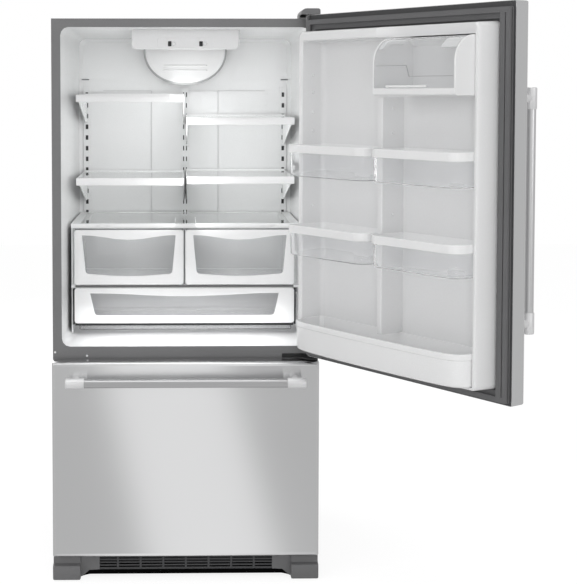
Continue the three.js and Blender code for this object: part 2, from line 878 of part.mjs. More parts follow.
const dikeOutline = (u0, u1, z0, z1, corner) => roundRect([uToX(u1), uToX(u0)], [z0, z1], corner);
const dike = cut(
  loft("y", [
    [rimY - 4, dikeOutline(dikeOuterU, farDikeOuterU, dikeFoot, dikeHead, 18)],
    [rimY + dikeHeight - 4, dikeOutline(dikeOuterU + 3, farDikeOuterU - 3, dikeFoot + 3, dikeHead - 3, 16)],
    [rimY + dikeHeight, dikeOutline(dikeOuterU + 7, farDikeOuterU - 7, dikeFoot + 7, dikeHead - 7, 12)],
  ]),
  plateY(dikeOutline(dikeInnerU, farDikeInnerU, dikeFootInner, dikeHeadInner, 4), [
    pocketY,
    rimY + dikeHeight + 1,
  ]),
);
const partition = block(
  [uToX(partitionU[1]), uToX(partitionU[0])],
  [pocketY - 1, rimY + dikeHeight - 1],
  [gallonTop + 2, partitionHead],
);
const slabFill = cut(
  softSlab(
    grow(doorX, -skin - fit),
    grow(doorZ, -skin - fit),
    rimY,
    faceY + skin + fit,
    panEdge - skin,
    3,
  ),
  plateY(dikeOutline(dikeInnerU, farDikeInnerU, dikeFootInner, dikeHeadInner, 4), [
    pocketY,
    rimY + 1,
  ]),
);
piece(
  door,
  "door_liner",
  cut(join(slabFill, dike, partition), pinHole([doorFoot, doorFoot + 26]), pinHole([doorTop - 28, doorTop])),
  "liner",
);

// A gasket: a flat foot on the liner, a neck and a soft bulb toward the case.
const gasket = (x, z) => {
  const base = [rimY + fit, rimY + 4.5];
  const bulb = [-6.5, -0.4];
  return join(
    ring(x, z, 30, 6, base),
    ring(grow(x, -5), grow(z, -5), 6, 5, [base[1] - 0.5, bulb[0] + 0.5]),
    ring(grow(x, -1.5), grow(z, -1.5), 14, 5, bulb),
  );
};
piece(door, "door_gasket", gasket([doorLeft + 7, doorRight - 7], [doorFoot + 6, doorTop - 15]), "gasket");

// Bars with stepped end caps, on two posts that stand on the door.
const handleProfile = (half) => [
  [0, -half],
  [capRadius - 2, -half],
  [capRadius, -half + 2],
  [capRadius, -half + capLength - 2],
  [capRadius - 1, -half + capLength],
  [barRadius, -half + capLength],
  [barRadius, half - capLength],
  [capRadius - 1, half - capLength],
  [capRadius, half - capLength + 2],
  [capRadius, half - 2],
  [capRadius - 2, half],
  [0, half],
];
const postY = [handleY, faceY - fit];
const doorHandleMid = (doorHandleZ[0] + doorHandleZ[1]) / 2;
const doorHandleHalf = (doorHandleZ[1] - doorHandleZ[0]) / 2;
piece(
  door,
  "door_handle",
  join(
    turned(handleProfile(doorHandleHalf), "z", [doorHandleX, handleY, doorHandleMid]),
    rod(postRadius, postY, "y", [doorHandleX, 0, doorHandleZ[0] + postInset]),
    rod(postRadius, postY, "y", [doorHandleX, 0, doorHandleZ[1] - postInset]),
  ),
  "handle",
);

// ---- door bins: clear tubs with a thick white rail round the top ----
const railHeight = 24;
const railProud = 2.5;
const binSpans = { hinge: [60.4, 384.6], handle: [400.4, 724.6] };
const binRows = { upper: [1272, 1365], lower: [1038, 1127] };
const binReach = 105;
for (const [row, z] of Object.entries(binRows)) {
  for (const [side, [u0, u1]] of Object.entries(binSpans)) {
    const x = [uToX(u1), uToX(u0)];
    const y = [pocketY + fit, rimY + binReach];
    const outline = (inset, radius) =>
      roundRect([x[0] + inset, x[1] - inset], [y[0], y[1] - inset], [2, 2, radius, radius], 5);
    const tubAt = (draft, wall) =>
      roundRect(
        [x[0] + railProud + draft + wall, x[1] - railProud - draft - wall],
        [y[0] + wall, y[1] - railProud - draft - wall],
        [2, 2, 34 - wall, 34 - wall],
        5,
      );
    piece(
      door,
      `door_bin_${row}_${side}`,
      cut(
        join(
          loft("z", [[z[0], tubAt(9, 0)], [z[1] - 1, tubAt(0, 0)]]),
          plateZ(outline(0, 36), [z[1] - railHeight, z[1]]),
        ),
        loft("z", [[z[0] + binWall, tubAt(9, binWall)], [z[1] + 1, tubAt(0, binWall)]]),
      ),
      "clear",
    );
  }
}

// ---- bottom bin with its bowed front ----
const gallonZ = [dikeFootInner + fit, gallonTop];
const gallonOutline = (inset, bow, reach) => {
  const [u0, u1] = [60.4 + inset, 724.6 - inset];
  const back = pocketY + fit + inset;
  const outline = [[uToX(u0), back]];
  const steps = 14;
  for (let i = 0; i <= steps; i++) {
    const k = i / steps;
    const shape = Math.sqrt(Math.max(1 - (2 * k - 1) ** 6, 0));
    const swell = reach + bow * (1 - (2 * k - 1) ** 2);
    outline.push([uToX(u0 + (u1 - u0) * k), rimY + (50 + (swell - 50) * shape) - inset]);
  }
  outline.push([uToX(u1), back]);
  return points(outline);
};
piece(
  door,
  "door_bin_gallon",
  cut(
    loft("z", [
      [gallonZ[0], gallonOutline(9, 24, 88)],
      [gallonZ[0] + 5, gallonOutline(2.5, 26, 94)],
      [gallonZ[0] + 18, gallonOutline(0, 28, 98)],
      [gallonZ[1] - 3, gallonOutline(0, 30, 100)],
      [gallonZ[1], gallonOutline(1.5, 30, 100)],
    ]),
    loft("z", [
      [gallonZ[0] + 4, gallonOutline(11, 24, 88)],
      [gallonZ[1] + 1, gallonOutline(4.5, 30, 100)],
    ]),
  ),
  "trim",
);

// ---- dairy compartment with its flip-up lid ----
const dairyX = [uToX(724.6), uToX(376)];
const dairyZ = [1511, 1668];
const dairyReach = 100;
const dairyWall = 5;
const lidPivot = [rimY + 50, 1660]; // Y, Z
const dairyCurve = (inset) => {
  const curve = [];
  const [cy, cz, r] = [rimY + 50, dairyZ[1] - 50, 50 - inset];
  for (let i = 0; i <= 8; i++) {
    const turn = ((1 - i / 8) * Math.PI) / 2;
    curve.push([cy + r * Math.cos(turn), cz + r * Math.sin(turn)]);
  }
  return curve; // from the top to the front
};
const dairyFront = rimY + dairyReach;
const dairyBack = pocketY + fit;
const dairyLip = 1546;
const sideWall = points([
  [dairyBack, dairyZ[0]],
  [dairyBack, dairyZ[1]],
  ...dairyCurve(0),
  [dairyFront, dairyZ[0] + 8],
  [dairyFront - 8, dairyZ[0]],
]);
piece(
  door,
  "dairy_case",
  join(
    cut(
      plateX(sideWall, dairyX),
      plateX(
        points([
          [dairyBack + 3, dairyZ[0] + 3],
          [dairyBack + 3, dairyZ[1] - 3],
          [rimY + 44, dairyZ[1] - 3],
          [rimY + 44, dairyZ[1] + 5],
          [dairyFront + 5, dairyZ[1] + 5],
          [dairyFront + 5, dairyLip],
          [dairyFront - 4, dairyLip],
          [dairyFront - 4, dairyZ[0] + 3],
        ]),
        grow(dairyX, -dairyWall),
      ),
    ),
    rod(3, [dairyX[0] + 1, dairyX[0] + dairyWall + 4], "x", [0, ...lidPivot], 14),
    rod(3, [dairyX[1] - dairyWall - 4, dairyX[1] - 1], "x", [0, ...lidPivot], 14),
  ),
  "trim",
);
const lidX = grow(dairyX, -dairyWall - 0.6);
const lidArc = points([
  ...dairyCurve(1.5),
  [dairyFront - 1.5, dairyLip + 0.5],
  [dairyFront - 4, dairyLip + 0.5],
  ...dairyCurve(4).reverse(),
]);
const lidEar = (x) =>
  plateX(
    points([
      [rimY + 45.5, dairyZ[1] - 2],
      [rimY + 45.5, 1655],
      [rimY + 60, 1650],
      [rimY + 82, 1640],
      [rimY + 76, 1652],
      [rimY + 64, dairyZ[1] - 4.5],
    ]),
    x,
  );
piece(
  door,
  "dairy_lid",
  cut(
    join(
      plateX(lidArc, lidX),
      lidEar([lidX[0], lidX[0] + 3]),
      lidEar([lidX[1] - 3, lidX[1]]),
      block(
        [(lidX[0] + lidX[1]) / 2 - 45, (lidX[0] + lidX[1]) / 2 + 45],
        [dairyFront - 3, dairyFront + 7],
        [dairyLip + 2, dairyLip + 5],
      ),
    ),
    rod(3 + fit, [lidX[0] - 1, lidX[0] + 3.5], "x", [0, ...lidPivot], 14),
    rod(3 + fit, [lidX[1] - 3.5, lidX[1] + 1], "x", [0, ...lidPivot], 14),
  ),
  "clear",
);

// ---- freezer drawer ----
const panelX = [-drawerHalf, drawerHalf];
const panelZs = [drawerFoot, drawerTop];
piece(refrigerator, "freezer_panel", panShell(panelX, panelZs), "steel");
const plateau = loft("y", [
  [rimY - 4, roundRect([-352, 352], [138, 634], 18)],
  [rimY + 16, roundRect([-349, 349], [141, 631], 16)],
  [rimY + 20, roundRect([-345, 345], [145, 627], 12)],
]);
piece(
  refrigerator,
  "freezer_panel_liner",
  cut(
    join(
      softSlab(
        grow(panelX, -skin - fit),
        grow(panelZs, -skin - fit),
        rimY,
        faceY + skin + fit,
        panEdge - skin,
        3,
      ),
      plateau,
    ),
    plateY(roundRect([-310, 310], [180, 590], 12), [rimY + 8, rimY + 30]),
  ),
  "liner",
);
piece(
  refrigerator,
  "freezer_gasket",
  gasket(grow(panelX, -7), [drawerFoot + 8, drawerTop - 8]),
  "gasket",
);
piece(
  refrigerator,
  "freezer_handle",
  join(
    turned(handleProfile(drawerHandleHalf), "x", [0, handleY, drawerHandleZ]),
    rod(postRadius, postY, "y", [-drawerHandleHalf + postInset, 0, drawerHandleZ]),
    rod(postRadius, postY, "y", [drawerHandleHalf - postInset, 0, drawerHandleZ]),
  ),
  "handle",
);
// Runners, uprights and the rear tie in one welded frame, bolted to the drawer's liner.
const frameFront = rimY + 20 + fit;
const armX = [358, 370];
const armEnd = 500;
const frameSide = (sign) => {
  const x = sign < 0 ? [-armX[1], -armX[0]] : armX;
  const tongue = sign < 0 ? [-384, -armX[1] + 1] : [armX[1] - 1, 384];
  const inner = sign < 0 ? [-armX[0] - 1, -330] : [330, armX[0] + 1];
  return join(
    block(x, [frameFront, armEnd], [366, 392]),
    block(tongue, [frameFront + 30, armEnd], [372 + fit, 378]),
    block(x, [frameFront, frameFront + 14], [366, 528]),
    block(x, [frameFront, 420], [516, 528]),
    block(inner, [frameFront, frameFront + 4], [366, 528]),
  );
};
piece(
  refrigerator,
  "drawer_frame",
  join(
    frameSide(-1),
    frameSide(1),
    block([-armX[1], armX[1]], [armEnd - 8, armEnd], [366, 392]),
  ),
  "rail",
);
const basket = ([x0, x1], y, z, rimZ, rimX) =>
  join(
    bin([x0, x1], y, z, 8, 20, 3),
    cut(
      block([-rimX, rimX], [y[0], y[1]], rimZ),
      block([x0 + 2, x1 - 2], [y[0] + 2, y[1] - 2], [rimZ[0] - 1, rimZ[1] + 1]),
    ),
  );
// Each basket's floor stays ahead of the hump over the machine compartment.
const lowerBasketTub = basket([-354, 354], [24, 420], [120, 396], [392 + fit, 396], 369);
piece(refrigerator, "freezer_basket_lower", lowerBasketTub, "trim");
piece(
  refrigerator,
  "freezer_basket_upper",
  basket([-354, 354], [26, 400], [420, 532], [528 + fit, 532], 369),
  "trim",
);

// ---- base: frame, legs, rollers, foot covers and grille ----
const frameZ = [24, caseFoot - fit];
const runner = (sign) => {
  const outer = sign < 0 ? [-caseHalf + 4, -368] : [368, caseHalf - 4];
  const cheek = sign < 0 ? [-345, -340] : [340, 345];
  return join(
    block(outer, [fit, 706], frameZ),
    block(cheek, [rollerY - 26, rollerY + 26], [cheekFoot, frameZ[1]]),
    block(outer, [rollerY - 16, rollerY + 16], [cheekFoot, frameZ[0] + 1]),
    block(sign < 0 ? [-370, -340] : [340, 370], [rollerY - 26, rollerY + 26], [frameZ[1] - 4, frameZ[1]]),
  );
};
const axleHole = (sign) =>
  rod(axleRadius + fit, sign < 0 ? [-376, -336] : [336, 376], "x", [0, rollerY, rollerRadius]);
const legHole = (sign) => rod(6 + fit, [10, 50], "z", [sign * legX, legY, 0], 16);
piece(
  refrigerator,
  "base_frame",
  cut(
    join(
      runner(-1),
      runner(1),
      block([-400, 400], [fit, 44], [40, frameZ[1]]),
      block([-400, 400], [676, 700], [40, frameZ[1]]),
    ),
    axleHole(-1),
    axleHole(1),
    legHole(-1),
    legHole(1),
  ),
  "darkPaint",
);
const leg = (x) =>
  turned(
    [[0, 0], [legRadius - 1, 0], [legRadius, 1], [legRadius, 7], [9, 10], [6, 12], [6, 48], [0, 48]],
    "z",
    [x, legY, 0],
    20,
  );
piece(refrigerator, "leg_left", leg(legX), "rubber");
piece(refrigerator, "leg_right", leg(-legX), "rubber");
const roller = (sign) => {
  const x = sign < 0 ? [-366, -347] : [347, 366];
  const axle = sign < 0 ? [-374, -341] : [341, 374];
  return join(
    rod(rollerRadius, x, "x", [0, rollerY, rollerRadius], 24),
    rod(axleRadius, axle, "x", [0, rollerY, rollerRadius]),
  );
};
piece(refrigerator, "roller_left", roller(-1), "rubber");
piece(refrigerator, "roller_right", roller(1), "rubber");

const footCover = (sign) => {
  const x = sign < 0 ? [-caseHalf, -footCoverInner] : [footCoverInner, caseHalf];
  const outer = plateX(
    points([
      [-fit, 2],
      [-40, 2],
      [-47, 5],
      [-50, 16],
      [-47, 34],
      [-38, 54],
      [-30, footCoverTop - 6],
      [-26, footCoverTop],
      [-fit, footCoverTop],
    ]),
    x,
  );
  const hollow = plateX(
    points([
      [8, 1],
      [-38, 1],
      [-46, 16],
      [-43, 34],
      [-33, 56],
      [-24, footCoverTop - 3],
      [8, footCoverTop - 3],
    ]),
    [x[0] + 3, x[1] - 3],
  );
  return cut(outer, hollow);
};
piece(refrigerator, "foot_cover_left", footCover(-1), "cover");
piece(refrigerator, "foot_cover_right", footCover(1), "cover");
const grilleHalf = footCoverInner - fit;
const louvre = [];
for (let row = 0; row < 4; row++) {
  for (let column = 0; column < 8; column++) {
    const x = -284 + column * 71;
    louvre.push(block([x + 3, x + 68], [-40, -8], [33 + row * 9, 38 + row * 9]));
  }
}
piece(
  refrigerator,
  "base_grille",
  cut(
    plateX(
      points([
        [-fit, grilleZ[0]],
        [-18, grilleZ[0]],
        [-20, grilleZ[0] + 3],
        [-20, grilleZ[1] - 3],
        [-18, grilleZ[1]],
        [-fit, grilleZ[1]],
        [-fit, grilleZ[1] - 3],
        [-16, grilleZ[1] - 3],
        [-16, grilleZ[0] + 3],
        [-fit, grilleZ[0] + 3],
      ]),
      [-grilleHalf, grilleHalf],
    ),
    ...louvre,
  ),
  "grille",
);

// ---- stand the door open and bring the front-left leg's sole to the origin ----
door.position.set(hingeX, hingeY, 0);
door.rotation.z = THREE.MathUtils.degToRad(openAngle);
for (const mesh of door.children) mesh.position.set(-hingeX, -hingeY, 0);
refrigerator.position.set(-legX, -legY, 0);

export default refrigerator;
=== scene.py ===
# Looks of the bottom-freezer refrigerator, its upper door standing open.
# Metres, +Z up, the front faces -Y, origin under the front-left levelling leg.
import json
import math

import bmesh
import bpy
from mathutils import Matrix, Vector


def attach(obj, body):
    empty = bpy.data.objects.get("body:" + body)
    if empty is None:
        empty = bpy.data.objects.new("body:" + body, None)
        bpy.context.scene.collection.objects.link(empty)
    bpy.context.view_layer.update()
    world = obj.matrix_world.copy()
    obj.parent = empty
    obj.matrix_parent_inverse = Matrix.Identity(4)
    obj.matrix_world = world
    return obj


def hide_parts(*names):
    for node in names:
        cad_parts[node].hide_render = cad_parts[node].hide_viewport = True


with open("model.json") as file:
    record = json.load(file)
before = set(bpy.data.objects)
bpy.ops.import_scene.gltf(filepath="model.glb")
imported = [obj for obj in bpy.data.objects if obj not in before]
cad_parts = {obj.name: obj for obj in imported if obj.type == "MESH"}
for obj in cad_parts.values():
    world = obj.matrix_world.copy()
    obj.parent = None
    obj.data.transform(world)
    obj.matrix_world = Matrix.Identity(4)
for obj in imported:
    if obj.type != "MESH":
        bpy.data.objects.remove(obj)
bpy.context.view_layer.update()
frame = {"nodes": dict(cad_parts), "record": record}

cadNodes = frame["nodes"]
scene = bpy.context.scene
print("frame loaded:", len(cadNodes), "pieces")

# camera and studio
cameraSetup = {
    "place": (0.379, -4.128, 1.519),
    "pitch": 3.0,
    "yaw": -0.98,
    "lens": 81.55,
    "shift": (0.1447, -0.2231),
}
cameraData = bpy.data.cameras.new("camera")
cameraData.sensor_width = 36
cameraData.lens = cameraSetup["lens"]
cameraData.shift_x, cameraData.shift_y = cameraSetup["shift"]
cameraObject = bpy.data.objects.new("camera", cameraData)
scene.collection.objects.link(cameraObject)
cameraObject.location = cameraSetup["place"]
cameraObject.rotation_euler = (
    math.radians(90 - cameraSetup["pitch"]),
    0,
    math.radians(cameraSetup["yaw"]),
)
scene.camera = cameraObject
scene.view_settings.view_transform = "Standard"

studio = {
    "worldLight": 0.5,  # what the room adds to every surface
    # the bright strip that metal mirrors: its middle, where it starts to fade and where it ends,
    # as sideways shares of a look's direction, and how bright the room is beside it
    "strip": {"middle": 0.006, "full": 0.075, "end": 0.13, "beside": 0.6},
    "floorHalf": 9.0,
    "floorShade": 0.8,
    "underShade": 0.004,  # painted shadow on the floor under the case
    "floorShadow": 0.3,  # share of the floor's colour that its own light and shadow make
    "floorLift": 1.24,
    # under the case the floor is painted dark as its shadow, in front as far as the grille's shadow
    # reaches
    "footprint": ((-0.006, 0.79), (-0.015, 0.64)),
    "footShadow": (0.288, 0.035, 0.016),  # half width, rounding and depth of its front corners
    # name: place, aims at, width, height, watts
    "lamps": {
        "frontBox": ((0.42, -4.6, 1.3), (0.42, 0.0, 0.9), 1.0, 2.6, 36),
        "leftBox": ((-3.0, -3.4, 2.6), (0.4, 0.0, 1.0), 2.2, 2.4, 26),
        "rightBox": ((3.6, -3.2, 2.2), (0.6, 0.0, 1.0), 1.8, 2.4, 16),
        "topBox": ((0.4, -1.2, 4.2), (0.4, 0.1, 0.8), 2.6, 2.0, 22),
        "rearBox": ((-1.6, 3.8, 2.8), (0.4, 0.3, 1.0), 2.4, 2.4, 40),
        "cabinetLamp": ((0.392, 0.42, 1.53), (0.392, 0.40, 1.0), 0.3, 0.2, 0.3),
        "cabinetFill": ((0.392, 0.2, 1.38), (0.392, 0.6, 1.42), 0.7, 0.44, 0.22),
        "cabinetTop": ((0.392, 0.44, 1.53), (0.392, 0.64, 1.69), 0.74, 0.06, 0.14),
        "cabinetLeft": ((0.40, 0.2, 1.3), (0.0, 0.2, 1.38), 0.34, 0.44, 0.78),
        "cabinetRight": ((0.384, 0.2, 1.3), (0.784, 0.2, 1.38), 0.34, 0.44, 1.15),
        "cabinetSill": ((0.392, 0.045, 0.84), (0.392, 0.045, 0.7), 0.6, 0.05, 0.8),
        "cabinetCrisper": ((0.392, 0.36, 1.062), (0.392, 0.36, 0.9), 0.6, 0.3, 0.18),
        "cabinetDeli": ((0.392, 0.36, 0.868), (0.392, 0.36, 0.7), 0.6, 0.3, 0.3),
    },
}


def addLamp(name, place, target, width, height, watts):
    lamp = bpy.data.lights.new(name, "AREA")
    lamp.shape = "RECTANGLE"
    lamp.size, lamp.size_y, lamp.energy = width, height, watts
    holder = bpy.data.objects.new(name, lamp)
    scene.collection.objects.link(holder)
    holder.location = place
    away = Vector(place) - Vector(target)
    holder.rotation_euler = away.to_track_quat("Z", "Y").to_euler()
    holder.visible_camera = False
    holder.visible_glossy = name[:7] != "cabinet" and name != "frontBox"


for lampName, lampFacts in studio["lamps"].items():
    addLamp(lampName, *lampFacts)


def addNode(tree, kind, settings=None, sockets=None):
    made = tree.nodes.new(kind)
    for key, value in (settings or {}).items():
        setattr(made, key, value)
    for key, value in (sockets or {}).items():
        if isinstance(value, bpy.types.NodeSocket):
            tree.links.new(value, made.inputs[key])
        else:
            made.inputs[key].default_value = value
    return made


def maths(tree, operation, a, b=0.0, clamp=False):
    made = addNode(tree, "ShaderNodeMath", {"operation": operation, "use_clamp": clamp})
    for socket, value in zip(made.inputs, (a, b)):
        if isinstance(value, bpy.types.NodeSocket):
            tree.links.new(value, socket)
        else:
            socket.default_value = value
    return made.outputs[0]


# looks straight or through something clear, and looks in a mirror
def rayKinds(tree):
    paths = addNode(tree, "ShaderNodeLightPath")
    plain = maths(
        tree, "MAXIMUM", paths.outputs["Is Camera Ray"], paths.outputs["Is Transmission Ray"]
    )
    return plain, paths.outputs["Is Glossy Ray"]


def makeWorld():
    world = bpy.data.worlds.new("studio")
    scene.world = world
    world.use_nodes = True
    tree = world.node_tree
    tree.nodes.clear()
    plain, glossy = rayKinds(tree)
    # metal sees a bright strip behind the camera and a greyer room beside it
    direction = addNode(tree, "ShaderNodeTexCoord").outputs["Generated"]
    across = addNode(tree, "ShaderNodeSeparateXYZ", sockets={"Vector": direction}).outputs["X"]
    facts = studio["strip"]
    strip = addNode(
        tree,
        "ShaderNodeMapRange",
        {"interpolation_type": "SMOOTHSTEP"},
        {
            "Value": maths(tree, "ABSOLUTE", maths(tree, "SUBTRACT", across, facts["middle"])),
            "From Min": facts["full"],
            "From Max": facts["end"],
            "To Min": 1.0,
            "To Max": facts["beside"],
        },
    ).outputs["Result"]
    room = addNode(tree, "ShaderNodeMix", {"data_type": "FLOAT"})
    tree.links.new(glossy, room.inputs[0])
    room.inputs[2].default_value = studio["worldLight"]
    tree.links.new(strip, room.inputs[3])
    whole = addNode(tree, "ShaderNodeMix", {"data_type": "FLOAT"})
    tree.links.new(plain, whole.inputs[0])
    tree.links.new(room.outputs[0], whole.inputs[2])
    whole.inputs[3].default_value = 1.0
    back = addNode(tree, "ShaderNodeBackground", sockets={"Strength": whole.outputs[0]})
    back.inputs["Color"].default_value = (1, 1, 1, 1)
    out = addNode(tree, "ShaderNodeOutputWorld")
    tree.links.new(back.outputs[0], out.inputs["Surface"])


makeWorld()


def makeFloor():
    floorMesh = bpy.data.meshes.new("floor")
    half = studio["floorHalf"]
    floorMesh.from_pydata(
        [(-half, -half, 0), (half, -half, 0), (half, half, 0), (-half, half, 0)], [], [(0, 1, 2, 3)]
    )
    floor = bpy.data.objects.new("floor", floorMesh)
    scene.collection.objects.link(floor)
    material = bpy.data.materials.new("floorPaint")
    material.use_nodes = True
    tree = material.node_tree
    tree.nodes.clear()
    lift = studio["floorLift"]
    white = addNode(tree, "ShaderNodeEmission", sockets={"Color": (1, 1, 1, 1), "Strength": lift})
    seen, glossy = rayKinds(tree)
    place = addNode(tree, "ShaderNodeTexCoord").outputs["Object"]
    parts = addNode(tree, "ShaderNodeSeparateXYZ", sockets={"Vector": place})
    (left, right), (front, rear) = studio["footprint"]
    half, rounding, depth = studio["footShadow"]
    x, y = parts.outputs["X"], parts.outputs["Y"]
    offMiddle = maths(tree, "ABSOLUTE", maths(tree, "SUBTRACT", x, (left + right) / 2))
    corner = maths(tree, "DIVIDE", maths(tree, "SUBTRACT", offMiddle, half), rounding, clamp=True)
    rounded = maths(tree, "MULTIPLY", maths(tree, "POWER", corner, 2.0), depth)
    behindFront = maths(tree, "GREATER_THAN", maths(tree, "ADD", y, rounded), front)
    deep = maths(tree, "MULTIPLY", behindFront, maths(tree, "LESS_THAN", y, rear))
    wide = maths(tree, "LESS_THAN", offMiddle, (right - left) / 2)
    # where the floor's painted shadow lies: the matte tone darkens and its white glow goes out
    under = maths(tree, "MULTIPLY", wide, deep)
    shade = addNode(
        tree,
        "ShaderNodeMapRange",
        sockets={
            "Value": under,
            "From Min": 0.0,
            "From Max": 1.0,
            "To Min": studio["floorShade"],
            "To Max": studio["underShade"],
        },
    ).outputs["Result"]
    tone = addNode(
        tree, "ShaderNodeCombineColor", sockets={"Red": shade, "Green": shade, "Blue": shade}
    ).outputs[0]
    matte = addNode(tree, "ShaderNodeBsdfDiffuse", sockets={"Color": tone})
    lit = maths(tree, "MULTIPLY", seen, 1 - studio["floorShadow"])
    lit = maths(tree, "MULTIPLY", lit, maths(tree, "SUBTRACT", 1.0, under))
    mixed = addNode(tree, "ShaderNodeMixShader", sockets={"Fac": lit})
    tree.links.new(matte.outputs[0], mixed.inputs[1])
    tree.links.new(white.outputs[0], mixed.inputs[2])
    out = addNode(tree, "ShaderNodeOutputMaterial")
    tree.links.new(mixed.outputs[0], out.inputs["Surface"])
    floorMesh.materials.append(material)
    floor.visible_glossy = False  # metal mirrors the room's strip in the floor as well


makeFloor()
print("studio ready")

# finishes
# grain: size of one grain in metres, one number or along X, Y and Z; spread: how far the colour
# wanders from its middle; bump: height of the grain in metres; shader: what goes straight on it
finishes = {
    "casePaint": {
        "colour": (0.19, 0.19, 0.193), "spread": 0.16, "grain": 0.0011,
        "bump": 0.00012, "roughness": (0.42, 0.56), "shader": {"Specular IOR Level": 0.42},
    },
    "brushedSteel": {
        "colour": (0.72, 0.722, 0.727), "spread": 0.02, "grain": (0.02, 0.02, 0.0004),
        "bump": 0.000003, "roughness": (0.17, 0.21),
        "shader": {"Metallic": 1.0, "Anisotropic": 0.93, "Anisotropic Rotation": 0.25},
    },
    "handleBar": {
        "colour": (0.7, 0.7, 0.705), "spread": 0.05, "grain": 0.0005,
        "bump": 0.000002, "roughness": (0.28, 0.33), "shader": {"Metallic": 1.0},
    },
    # the handle steel made darker for the freezer handle, painted shade
    "shadedDrawerBar": {
        "colour": (0.46, 0.46, 0.465), "spread": 0.05, "grain": 0.0005,
        "bump": 0.000002, "roughness": (0.28, 0.33), "shader": {"Metallic": 1.0},
    },
    "handleCap": {
        "colour": (0.79, 0.79, 0.795), "spread": 0.02, "grain": 0.0009,
        "bump": 0.000001, "roughness": (0.38, 0.44), "shader": {"Metallic": 0.5},
    },
    "linerWhite": {
        "colour": (0.82, 0.822, 0.826), "spread": 0.02, "grain": 0.004,
        "bump": 0.00003, "roughness": (0.16, 0.24), "shader": {"Specular IOR Level": 0.5},
    },
    "trimWhite": {
        "colour": (0.88, 0.882, 0.885), "spread": 0.018, "grain": 0.0016,
        "bump": 0.00002, "roughness": (0.2, 0.3), "shader": {"Specular IOR Level": 0.5},
    },
    "shieldWhite": {
        "colour": (0.8, 0.801, 0.803), "spread": 0.015, "grain": 0.003,
        "bump": 0.00002, "roughness": (0.3, 0.4), "shader": {},
    },
    "displayGlass": {
        "colour": (0.012, 0.012, 0.014), "spread": 0.1, "grain": 0.0012,
        "bump": 0.000006, "roughness": (0.1, 0.16), "shader": {},
    },
    # painted shade behind the ladders' slots
    "slotPaintedShade": {
        "colour": (0.05, 0.05, 0.052), "spread": 0.12, "grain": 0.002,
        "bump": 0.00002, "roughness": (0.6, 0.75), "shader": {},
    },
    "lidClear": {
        "colour": (0.9, 0.902, 0.905), "spread": 0.01, "grain": 0.01,
        "bump": 0.00001, "roughness": (0.05, 0.09),
        "shader": {"Transmission Weight": 0.94, "IOR": 1.2},
    },
    # painted shade on the light shield's sides
    "shieldPaintedShade": {
        "colour": (0.42, 0.422, 0.426), "spread": 0.02, "grain": 0.003,
        "bump": 0.00001, "roughness": (0.3, 0.4), "shader": {},
    },
    # painted shade in the gaps between the drawer fronts and over the ladders
    "gapPaintedShade": {
        "colour": (0.13, 0.13, 0.132), "spread": 0.05, "grain": 0.003,
        "bump": 0.00001, "roughness": (0.5, 0.6), "shader": {},
    },
    # painted shade along the air duct's edges
    "creasePaintedShade": {
        "colour": (0.56, 0.562, 0.566), "spread": 0.03, "grain": 0.003,
        "bump": 0.00001, "roughness": (0.3, 0.4), "shader": {},
    },
    # painted shadow under the grille
    "toePaintedShadow": {
        "colour": (0.003, 0.003, 0.003), "spread": 0.1, "grain": 0.003,
        "bump": 0.00001, "roughness": (0.9, 1.0), "shader": {"Specular IOR Level": 0.0},
    },
    "stepGrey": {
        "colour": (0.35, 0.35, 0.355), "spread": 0.05, "grain": 0.003,
        "bump": 0.00001, "roughness": (0.3, 0.4), "shader": {},
    },
    # painted shade for the rims outside the door's and the drawer's gaskets
    "paintedRimShade": {
        "colour": (0.055, 0.055, 0.057), "spread": 0.14, "grain": 0.0016,
        "bump": 0.00004, "roughness": (0.5, 0.62), "shader": {},
    },
    "ladderEnamel": {
        "colour": (0.8, 0.802, 0.805), "spread": 0.02, "grain": 0.002,
        "bump": 0.00002, "roughness": (0.24, 0.32), "shader": {},
    },
    "clearPlastic": {
        "colour": (0.965, 0.967, 0.97), "spread": 0.008, "grain": 0.01,
        "bump": 0.00002, "roughness": (0.04, 0.08),
        "shader": {"Transmission Weight": 0.93, "IOR": 1.17},
    },
    "shelfGlass": {
        "colour": (0.925, 0.935, 0.93), "spread": 0.01, "grain": 0.02,
        "bump": 0.00001, "roughness": (0.01, 0.03),
        "shader": {"Transmission Weight": 1.0, "IOR": 1.45},
    },
    "gasketGrey": {
        "colour": (0.14, 0.14, 0.143), "spread": 0.12, "grain": 0.002,
        "bump": 0.00004, "roughness": (0.5, 0.64), "shader": {"Specular IOR Level": 0.35},
    },
    "hingeCover": {
        "colour": (0.165, 0.165, 0.168), "spread": 0.14, "grain": 0.0008,
        "bump": 0.00008, "roughness": (0.5, 0.64), "shader": {},
    },
    "zinc": {
        "colour": (0.55, 0.55, 0.54), "spread": 0.16, "grain": 0.004,
        "bump": 0.00002, "roughness": (0.32, 0.46), "shader": {"Metallic": 0.9},
    },
    # black plates, and the painted shadow round the deli drawer's front
    "blackPlate": {
        "colour": (0.012, 0.012, 0.013), "spread": 0.2, "grain": 0.0012,
        "bump": 0.00004, "roughness": (0.34, 0.46), "shader": {},
    },
    "grillePlastic": {
        "colour": (0.06, 0.06, 0.063), "spread": 0.14, "grain": 0.0009,
        "bump": 0.00006, "roughness": (0.45, 0.6), "shader": {},
    },
    "foamSkin": {
        "colour": (0.78, 0.7, 0.48), "spread": 0.12, "grain": 0.006,
        "bump": 0.0006, "roughness": (0.8, 0.92), "shader": {},
    },
    "blackPrimer": {
        "colour": (0.03, 0.03, 0.032), "spread": 0.2, "grain": 0.0016,
        "bump": 0.00006, "roughness": (0.42, 0.6), "shader": {},
    },
    "blackRubber": {
        "colour": (0.018, 0.018, 0.019), "spread": 0.2, "grain": 0.0012,
        "bump": 0.00006, "roughness": (0.62, 0.78), "shader": {"Specular IOR Level": 0.3},
    },
}


